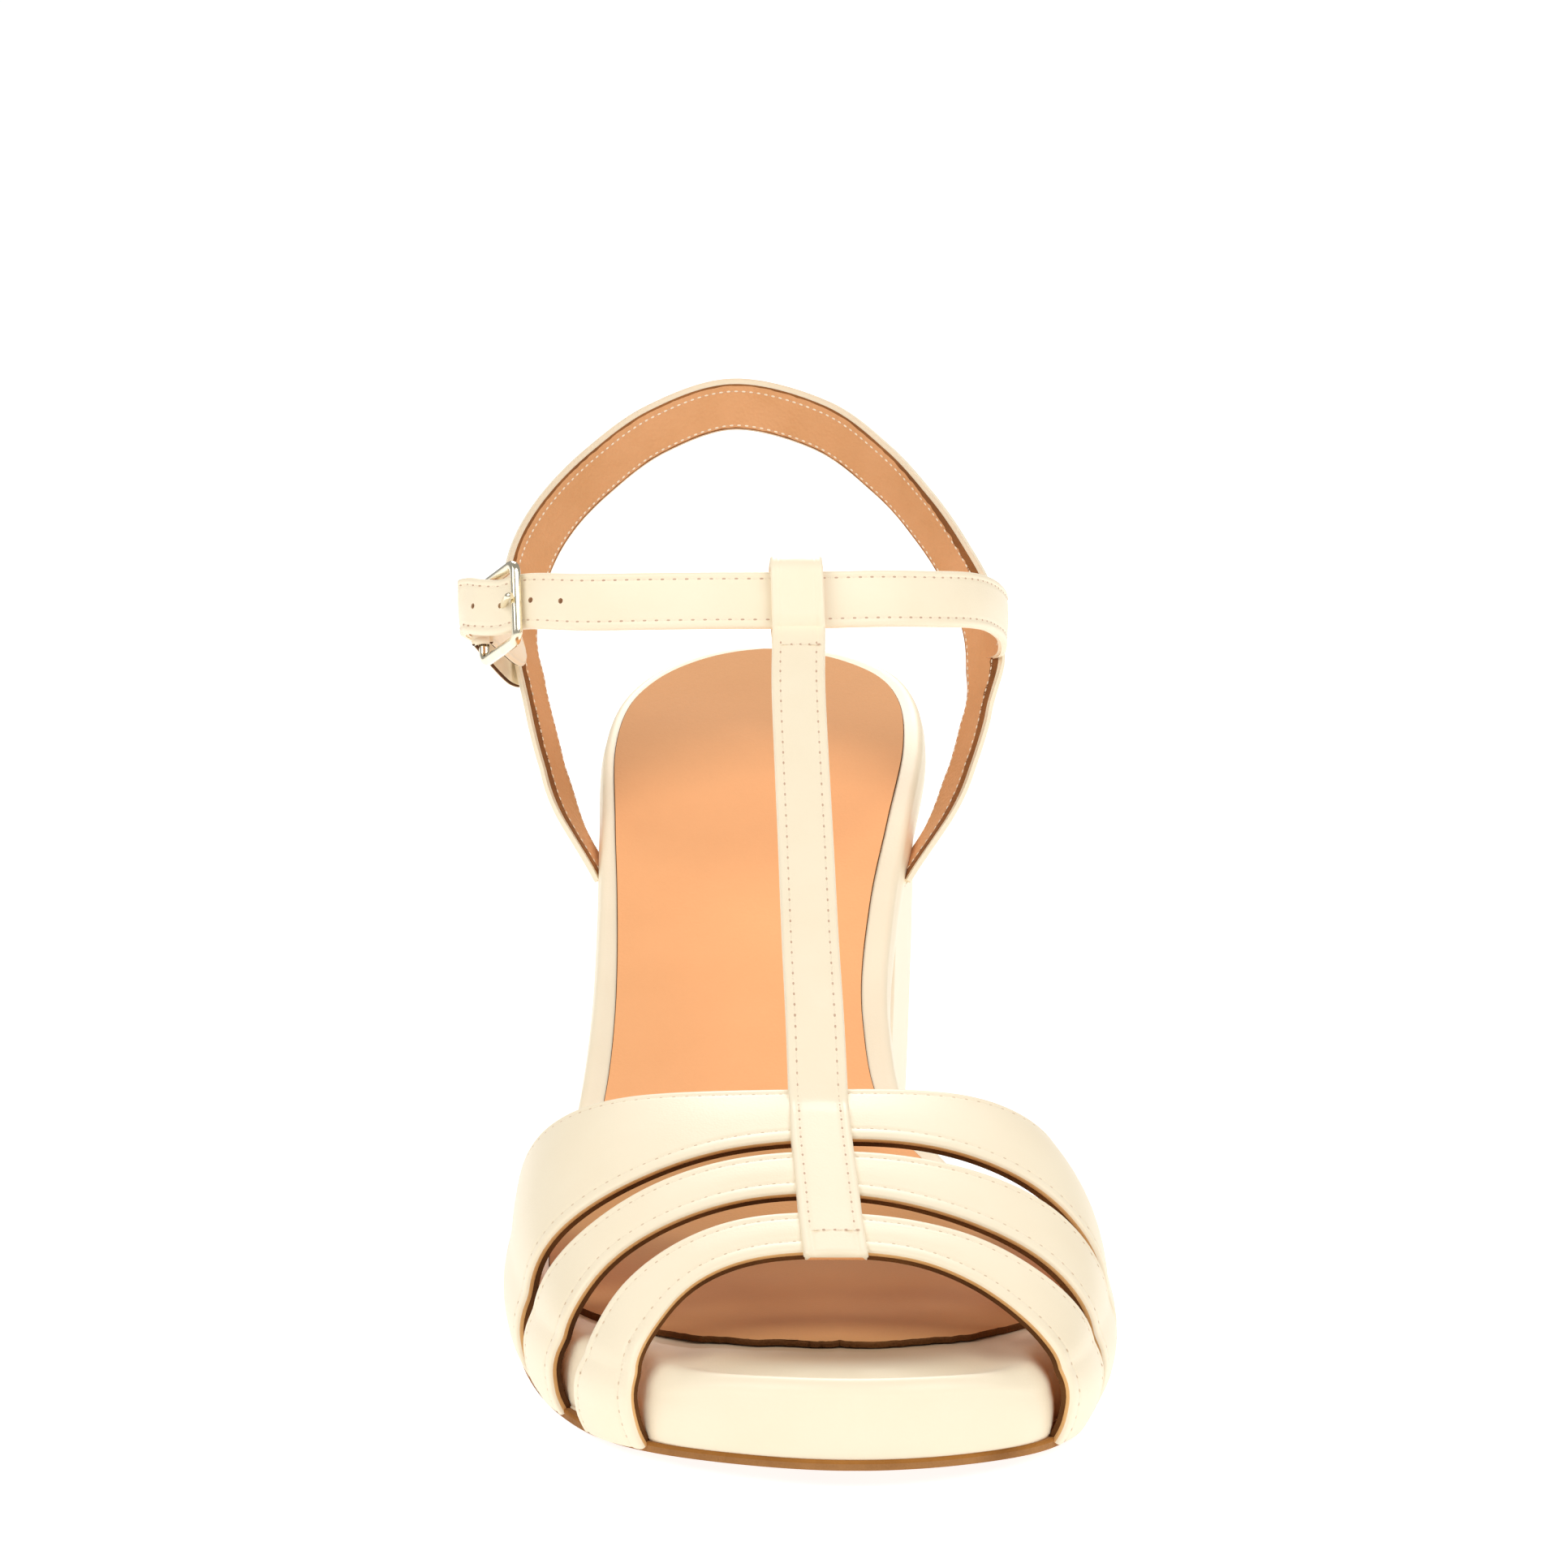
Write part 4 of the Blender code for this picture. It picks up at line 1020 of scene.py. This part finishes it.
def build_footbed(coats):
    """Leather-wrapped platform: rolled upper edge, padded lip round the open toe."""
    across, along = FOOTBED_MESH

    def plan(u, v):
        y = along_shoe(v, FOOTBED_TIP, SHOE_LENGTH - FOOTBED_TIP)
        lateral, medial = wrapped_edges(y)
        return lateral + (medial - lateral) * u, y

    keys = [(crowded(i, across), j / along) for j in range(along + 1) for i in range(across + 1)]
    away = dict(zip(keys, outline_distance([plan(u, v) for u, v in keys])))

    def top(u, v):
        x, y = plan(u, v)
        edge = away[(u, v)]
        pad = 1 - ease(y, *PAD_END_STOPS)
        roll = TOE_ROLL + (HEEL_ROLL - TOE_ROLL) * ease(y, *ROLL_NARROWS)
        roll += (PAD_END_ROLL - TOE_ROLL) * ease(y, *PAD_END_STARTS) * pad
        inside = max(roll - edge, 0.0)
        height = footbed_top(x, y) - roll + math.sqrt(max(roll**2 - inside**2, 0.0))
        toe = max(1 - y / LIP_END, 0.0) ** 0.5
        lip = LIP_RISE * math.exp(-((edge - LIP_FROM_EDGE) / LIP_REACH) ** 2)
        valley = VALLEY_DEPTH * math.exp(-((edge - VALLEY_FROM_EDGE) / VALLEY_REACH) ** 2)
        valley *= 1 - VALLEY_FADE * ease(y, *VALLEY_FADES)
        sag = PAD_END_DROP * ease(y, *PAD_DROP_STARTS) * pad * math.exp(-((edge / PAD_DROP_REACH) ** 2))
        return Vector((x, y, height + toe * (lip - valley) - sag))

    def bottom(u, v):
        x, y = plan(u, v)
        return Vector((x, y, footbed_bottom(y) - TOE_OVERLAP * (1 - ease(y, *OVERLAP_FADES))))

    built = shell(across, along, top, bottom, FOOTBED_WALL)
    # the footbed's wrapped leather carries painted shade in the fold at the toe
    add_piece("footbed_leather", *built, (coats["wrapped_leather_shaded"],), "footbed")


def build_outsole(coats):
    """Thin sole with a burnished upper edge line and a rougher cut below it."""
    def layer(drop):
        def place(u, v):
            y = along_shoe(v, SOLE_TIP, HEEL_BREAST_TOP - CLEARANCE)
            welt = SOLE_WELT * ease(y, *WELT_STARTS) * (1 - ease(y, *WELT_STOPS))
            margin = blend(PROFILE, "margin", y) + welt
            lateral, medial = footbed_edges(y)
            x = (lateral - margin) * (1 - u) + (medial + margin) * u
            sole = blend(PROFILE, "outsole", y) + CLEARANCE
            return Vector((x, y, footbed_bottom(y) - SEAT_GAP * (1 - drop) - drop * sole))
        return place

    built = shell(*OUTSOLE_MESH, layer(0.0), layer(1.0), OUTSOLE_WALL)
    sole = (coats["sole_leather"], coats["sole_edge"])
    add_piece("outsole_leather", *built, sole, "outsole", "sole_leather")


def sock_edges(v):
    """Place along the sock and its two edges: inside the footbed's rim, rounded at the toe."""
    y = along_shoe(v, SOCK_FRONT, SHOE_LENGTH - SOCK_BACK)
    heelward = min(y + SOCK_BACK * max(y / SHOE_LENGTH, 0) ** 6, SHOE_LENGTH)
    lateral, medial = footbed_edges(heelward)
    middle = (lateral + medial) / 2
    lateral = min(lateral + blend(PROFILE, "rim_lateral", y), middle - 1)
    medial = max(medial - blend(PROFILE, "rim_medial", y), middle + 1)
    reach = min((y - SOCK_FRONT) / SOCK_TOE, 1.0)
    opened = SOCK_TIP + (1 - SOCK_TIP) * (1 - (1 - reach) ** SOCK_SQUARENESS) ** (1 / SOCK_SQUARENESS)
    return y, middle + (lateral - middle) * opened, middle + (medial - middle) * opened


def build_sock(coats):
    """Leather insole cover with a hand-trimmed front edge."""
    def layer(lift):
        def place(u, v):
            y, lateral, medial = sock_edges(v**SOCK_CROWDING)
            x = lateral + (medial - lateral) * u
            trimmed = max(1 - (y - SOCK_FRONT) / TRIM_REACH, 0.0)
            wavy = sum(noise.noise(Vector((x * scale, row, 0))) * size for scale, row, size in TRIM_WAVES)
            return Vector((x, y + wavy * trimmed, footbed_top(x, y) + lift(y)))
        return place

    def upper(y):
        return SOCK_STANDS + (SOCK_STANDS_BEHIND - SOCK_STANDS) * ease(y, *SOCK_SETTLES)

    def lower(y):
        return SOCK_FRONT_LIFT - (SOCK_FRONT_LIFT + SOCK_SUNK) * ease(y, *SOCK_SINKS)

    built = shell(*SOCK_MESH, layer(upper), layer(lower), SOCK_WALL, 1)
    add_piece("sock_leather", *built, (coats["sock_leather"], coats["cut_edge"]), "sock", "tan_leather")


def heel_plan(u, v, breast, back, scale):
    """Plan of the heel: the seat's outline, drawn in and scaled about its middle."""
    swing = math.sin(v * math.pi / 2)
    top_y = HEEL_BREAST_TOP + (HEEL_BACK_TOP - HEEL_BREAST_TOP) * swing
    lateral, medial = footbed_edges(min(top_y + HEEL_INSET * swing, SHOE_LENGTH - 0.4))
    middle = (lateral + medial) / 2
    half = max((medial - lateral) / 2 - HEEL_INSET, HEEL_LEAST_HALF) * scale
    return middle + half * (2 * u - 1), breast + (back - breast) * swing


def build_heel(coats):
    """Covered block heel and the wearing lift under it."""
    def foot(height):
        def place(u, v):
            x, y = heel_plan(u, v, HEEL_BREAST_FOOT, HEEL_BACK_FOOT, HEEL_FOOT_SCALE)
            return Vector((x, y, height))
        return place

    def seat(u, v):
        x, y = heel_plan(u, v, HEEL_BREAST_TOP, HEEL_BACK_TOP, 1.0)
        return Vector((x, y, footbed_bottom(y) - SEAT_GAP))

    cover = [(share, HEEL_BULGE * math.sin(share * math.pi), 0) for share in HEEL_LEVELS]
    built = shell(*HEEL_MESH, seat, foot(TOP_PIECE + LIFT_GAP), cover)
    add_piece("heel_cover", *built, (coats["cream_leather"],), "heel_block")
    lift = shell(*HEEL_MESH, foot(TOP_PIECE), foot(0.0), LIFT_WALL)
    add_piece("heel_lift", *lift, (coats["heel_rubber"],), "heel_top_piece", "heel_rubber")


def band_frame(name):
    """Width and laying-out of a band round the last, smooth over its shoulders and tucked in below."""
    rounds, places = BAND_MESH
    total = sum(share for _, share in SHOULDER_SMOOTHING)
    sheet = np.zeros((rounds + 1, places + 1, 3))
    for i in range(rounds + 1):
        for offset, share in SHOULDER_SMOOTHING:
            u = i / rounds + offset
            front = blend(BAND_EDGES, name + "_front", u)
            back = blend(BAND_EDGES, name + "_back", u)
            for k in range(places + 1):
                point = last_point(front + (back - front) * k / places, u)
                sheet[i, k] += np.array(point) * (share / total)

    def facing():
        out = np.cross(np.gradient(sheet, axis=0), np.gradient(sheet, axis=1))
        return out / np.linalg.norm(out, axis=2, keepdims=True)

    place = np.linspace(0.0, 1.0, rounds + 1)
    from_end = np.minimum(place, 1 - place)
    tuck = np.clip(1 - from_end / TUCK_REACH, 0.0, 1.0) ** 2
    swell = np.sin(np.pi * np.clip(from_end / SWELL_REACH, 0.0, 1.0)) ** 2
    sheet += facing() * (swell * SIDE_SWELL - tuck * TUCK_DEPTH)[:, None, None]
    normals = facing()
    widths = np.linalg.norm(np.diff(sheet, axis=1), axis=2).sum(axis=1)

    def between(rows, place):
        i = min(max(int(place), 0), len(rows) - 2)
        return rows[i] * (1 - (place - i)) + rows[i + 1] * (place - i)

    def at(u):
        spot = min(max(u, 0.0), 1.0) * rounds
        row, out, width = between(sheet, spot), between(normals, spot), float(between(widths, spot))

        def lay(across, height):
            step = across / width * places
            return Vector(between(row, step) + between(out, step) * height)

        return width, lay
    return at


def strap_at(rows, wall):
    """Width and laying-out of a strap along its rows, from its lower edge up."""
    def at(t):
        point, ahead, width, above, below = strap_frame(rows, t)
        outward = width.cross(ahead)

        def lay(across, height):
            return point + width * (across - below) + outward * (height - wall / 2)

        return above + below, lay
    return at


def bar_path():
    """Inner face of the T-bar: over the bands, up to the ankle strap, over it and down behind itself."""
    lift = BAND_WALL - BAR_SINK
    path = [Vector((r.side, r.from_toe, last_height(r.side, r.from_toe) + lift)) for r in BAR_OVER_BANDS]
    path += [Vector((r.side, r.from_toe, r.height)) for r in BAR_FREE]
    rows = ankle_rows()
    front = min(rows, key=lambda row: row.from_toe)
    point, ahead, width, _, _ = strap_frame(rows, rows.index(front) / (len(rows) - 1))
    outward = width.cross(ahead)
    gap = STRAP_WALL / 2 + CLEARANCE
    return path + [point + width * rise + outward * (out * gap) for rise, out in BAR_LOOP]


def bar_at(path):
    """Width and laying-out of the T-bar along its path, a little narrower towards its loop."""
    side = Vector((1, 0, 0))

    def at(t):
        middle = through(path, t)
        out = side.cross(heading(path, t, 0.003)).normalized()
        width = BAR_WIDTH - BAR_NARROWS * ease(t, 0.0, 0.5)

        def lay(across, height):
            return middle + side * (across - width / 2) + out * height

        return width, lay
    return at


def build_vamp(coats):
    """Three crescent bands and the T-bar over them."""
    layers = [coats[name] for name in ("cream_leather", "edge_painted_shade", "tan_leather", "cut_edge")]
    for name in BANDS:
        frame_at = band_frame(name)

        def middle(u):
            width, lay = frame_at(u)
            return lay(width / 2, 0.0)

        make = BAND_MAKE
        stations = spaced(middle)
        built = loft(strip(stations, frame_at, make))
        add_piece(name + "_band", *built, layers, "vamp_upper")
        edges = (make.stitch_low, make.stitch_high)
        rows = stitch_rows(stations, frame_at, *edges, make.wall - STITCH_TROUGH, BAND_SEWING.pitch)
        sew(name + "_band_stitches", [(rows, BAND_SEWING)], coats, "vamp_upper")

    make = BAR_MAKE
    path = bar_path()
    frame_at = bar_at(path)
    stations = spaced(lambda t: through(path, t), True, True)
    built = loft(strip(stations, frame_at, make, *BAR_CORNERS))
    add_piece("t_bar", *built, layers, "vamp_upper")
    sewn = [row for row in stations if row[1] > BAR_SEWN_FROM and through(path, row[0]).y < BAR_SEWN_TO]
    edges = (make.stitch_low, make.stitch_high)
    rows = stitch_rows(sewn, frame_at, *edges, make.wall - STITCH_TROUGH, BAR_SEWING.pitch)
    for end in (sewn[0], sewn[-1]):
        rows += cross_row(frame_at, end[0], *edges, make.wall + CROWN)
    sew("t_bar_stitches", [(rows, BAR_SEWING)], coats, "vamp_upper")


def punched_places(rows):
    """Places along the ankle strap of its holes: the prong's, and others at an even pitch from it."""
    steps = 600
    points = [strap_frame(rows, i / steps)[0] for i in range(steps + 1)]
    crossing = buckle_point(PRONG_CROSSING, PRONG_RISE, 0)
    middle = min(range(steps + 1), key=lambda i: (points[i] - crossing).length)
    travelled = ways(points)
    places = []
    for hole in PUNCHES:
        wanted = travelled[middle] + hole * PUNCH_PITCH
        places.append(min(range(steps + 1), key=lambda i: abs(travelled[i] - wanted)) / steps)
    return places


def punch(made, rows, coat):
    """Cuts the punched holes into the ankle strap."""
    drills = bmesh.new()
    radius = PUNCH_HOLE / 2
    for place in punched_places(rows):
        point, ahead, width, _, _ = strap_frame(rows, place)
        tilt = ahead.cross(width).to_track_quat("Z", "Y").to_matrix().to_4x4()
        matrix = Matrix.Scale(MM, 4) @ Matrix.Translation(point - ORIGIN) @ tilt
        bmesh.ops.create_cone(
            drills, cap_ends=True, segments=24, radius1=radius, radius2=radius, depth=PUNCH_DEPTH,
            matrix=matrix)
    data = bpy.data.meshes.new("drills")
    drills.to_mesh(data)
    drills.free()
    data.materials.append(coat)
    cutter = put("drills", data)
    cut = made.modifiers.new("holes", "BOOLEAN")
    cut.operation = "DIFFERENCE"
    cut.object = cutter
    cut.solver = "EXACT"
    cut.material_mode = "TRANSFER"
    baked = bpy.data.meshes.new_from_object(made.evaluated_get(bpy.context.evaluated_depsgraph_get()))
    made.modifiers.clear()
    made.data = baked
    bpy.data.objects.remove(cutter, do_unlink=True)


def build_straps(coats):
    """Heel strap and ankle strap, lined, stitched and punched."""
    layers = [coats[name] for name in ("cream_leather", "raw_edge", "strap_lining_and_shade", "raw_edge")]
    jobs = (
        ("heel_strap", HEEL_STRAP, HEEL_STRAP_MAKE, None, HEEL_STRAP_CUT),
        ("ankle_strap", ankle_rows(), ANKLE_STRAP_MAKE, ANKLE_CORNER, None),
    )
    for name, rows, make, end_corner, cut in jobs:
        frame_at = strap_at(rows, make.wall)
        stations = spaced(lambda t: strap_frame(rows, t)[0], False, end_corner is not None)
        built = loft(strip(stations, frame_at, make, None, end_corner, cut))
        made = add_piece(name, *built, layers, "ankle_and_heel_strap")
        if end_corner:
            punch(made, rows, coats["punched_edge"])
            stations = [row for row in stations if row[1] > ANKLE_SEWN_FROM and row[2] > ANKLE_END_UNSEWN]
        edges = (max(make.stitch_low, LEAST_STITCH), make.stitch_high)
        outside = stitch_rows(stations, frame_at, *edges, make.wall - STITCH_TROUGH, STRAP_SEWING.pitch)
        edges = (make.stitch_low + LINING_STITCH_IN, make.stitch_high)
        inside = stitch_rows(stations, frame_at, *edges, 0.0, LINING_SEWING.pitch, True)
        sewing = [(outside, STRAP_SEWING), (inside, LINING_SEWING)]
        sew(name + "_stitches", sewing, coats, "ankle_and_heel_strap")


def tube(points, out, radius, closed):
    """Rings of a wire with a squared round section along points, out giving one of its sides."""
    def squared(part):
        return math.copysign(abs(part) ** WIRE_SQUARENESS, part)

    rings = []
    count = len(points)
    around = 16
    for i, point in enumerate(points):
        before = points[i - 1] if closed or i else point
        after = points[(i + 1) % count] if closed or i + 1 < count else point
        ahead = (after - before).normalized()
        side = ahead.cross(out).normalized()
        flat = side.cross(ahead)
        ring = []
        for k in range(around):
            angle = 2 * math.pi * k / around
            lift, swing = squared(math.cos(angle)), squared(math.sin(angle))
            ring.append((point + flat * (lift * radius) + side * (swing * radius), 0))
        rings.append(ring)
    return rings


def prong_path():
    """Prong: an eye round the rear bar, then straight under the strap, through it and on to the front bar."""
    eye = BUCKLE_WIRE / 2 + CLEARANCE + PRONG_WIRE / 2
    first, step, count = PRONG_EYE_TURN
    angles = [math.radians(first + step * i) for i in range(count)]
    places = [(eye * math.cos(angle), eye * math.sin(angle)) for angle in angles]
    places += [PRONG_DIP, (-BUCKLE_REACH, eye)]
    places.append((-BUCKLE_REACH - PRONG_OVERHANG[0], eye - PRONG_OVERHANG[1]))
    return [buckle_point(back, PRONG_RISE, out) for back, out in places]


def build_buckle(coats):
    """Plated frame with rounded corners, and its prong."""
    metal = (coats["pale_gold"],)
    half = (BUCKLE_HEIGHT - BUCKLE_WIRE) / 2
    points = []
    for corner in range(4):
        middle_angle = math.radians(45 + 90 * corner)
        back = -BUCKLE_REACH / 2 + math.copysign(BUCKLE_REACH / 2 - BUCKLE_CORNER, math.cos(middle_angle))
        rise = math.copysign(half - BUCKLE_CORNER, math.sin(middle_angle))
        for step in range(9):
            angle = math.radians(90 * corner + 11.25 * step)
            points.append(buckle_point(
                back + BUCKLE_CORNER * math.cos(angle), rise + BUCKLE_CORNER * math.sin(angle), 0.0))
    rings = tube(points, BUCKLE_OUT, BUCKLE_WIRE / 2, True)
    add_piece("buckle_bars", *loft(rings, True), metal, "buckle_frame", "pale_gold")
    path = prong_path()
    fine = [through(path, i / PRONG_STEPS) for i in range(PRONG_STEPS + 1)]
    rings = tube(fine, BUCKLE_UP, PRONG_WIRE / 2, False)
    add_piece("buckle_tongue", *loft(rings), metal, "buckle_prong", "pale_gold")


def build_tab(coats):
    """Leather tab folded round the buckle's rear bar, its ends lying against both faces of the heel strap."""
    fold = BUCKLE_WIRE / 2 + CLEARANCE + TAB_WALL / 2
    flat, bend = TAB_LENGTH * TAB_FLAT_FROM, TAB_LENGTH * TAB_OPENS_FROM
    path = [(TAB_LENGTH, TAB_OUTER_LIES), (flat, TAB_BULGE), (bend, TAB_BULGE)]
    for step in range(9):
        angle = math.radians(90 + 22.5 * step)
        path.append((fold * math.cos(angle), fold * math.sin(angle)))
    path += [(bend, -TAB_BULGE), ((bend + TAB_INNER_LENGTH) / 2, -TAB_BULGE)]
    path.append((TAB_INNER_LENGTH, -TAB_INNER_LIES))
    path = [Vector((along, out, 0)) for along, out in path]

    def frame_at(t):
        here = through(path, t)
        run = heading(path, t)
        away = Vector((run.y, -run.x, 0))

        def lay(across, height):
            place = here + away * (height - TAB_WALL / 2)
            rise = across - TAB_WIDTH / 2 + TAB_RISE * max(place.x, 0) / TAB_LENGTH
            return tab_point(place.x, rise, place.y)

        return TAB_WIDTH, lay

    stations = spaced(lambda t: through(path, t), True, True)
    layers = [coats[name] for name in ("cream_leather", "edge_painted_shade", "cream_leather", "cut_edge")]
    built = loft(strip(stations, frame_at, TAB_MAKE, TAB_CORNER, TAB_CORNER, None, TAB_TAPER))
    add_piece("buckle_fold", *built, layers, "buckle_tab")


def build_stage(paper):
    """Plain pale floor, soft studio light and the camera."""
    built = bmesh.new()
    bmesh.ops.create_grid(built, x_segments=2, y_segments=2, size=FLOOR_SIZE)
    data = bpy.data.meshes.new("floor")
    built.to_mesh(data)
    built.free()
    feed(paper, shader_of(paper), {"Emission Color": WHITE, "Emission Strength": FLOOR_GLOW})
    data.materials.append(paper)
    floor = put("floor", data)

    world = bpy.data.worlds.new("studio")
    world.use_nodes = True
    feed(world, world.node_tree.nodes["Background"], {"Color": WHITE, "Strength": WORLD_LIGHT})
    bpy.context.scene.world = world
    for row in LAMPS:
        lamp = bpy.data.lights.new(row.name, "AREA")
        lamp.size = row.size
        lamp.energy = row.power
        holder = put(row.name, lamp)
        holder.location = row.place
        holder.rotation_euler = (LIT_POINT - row.place).to_track_quat("-Z", "Y").to_euler()

    camera = bpy.data.cameras.new("camera")
    camera.lens = CAMERA_LENS
    camera.sensor_width = CAMERA_SENSOR
    camera.clip_end = CAMERA_SEES
    holder = put("camera", camera)
    holder.location = (CAMERA_PLACE - ORIGIN) * MM
    holder.rotation_euler = (math.radians(90 - CAMERA_PITCH), 0.0, 0.0)
    bpy.context.scene.camera = holder
    bpy.context.scene.view_settings.view_transform = "Standard"


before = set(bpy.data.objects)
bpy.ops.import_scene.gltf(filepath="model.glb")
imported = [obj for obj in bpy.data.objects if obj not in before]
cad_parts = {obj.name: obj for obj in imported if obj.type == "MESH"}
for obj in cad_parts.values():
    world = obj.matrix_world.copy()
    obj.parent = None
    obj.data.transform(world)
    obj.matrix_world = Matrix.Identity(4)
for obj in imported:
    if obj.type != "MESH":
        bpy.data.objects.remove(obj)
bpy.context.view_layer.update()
coats = finishes()
build_stage(coats["floor_paper"])
build_footbed(coats)
build_outsole(coats)
build_sock(coats)
build_heel(coats)
build_vamp(coats)
build_straps(coats)
build_buckle(coats)
build_tab(coats)
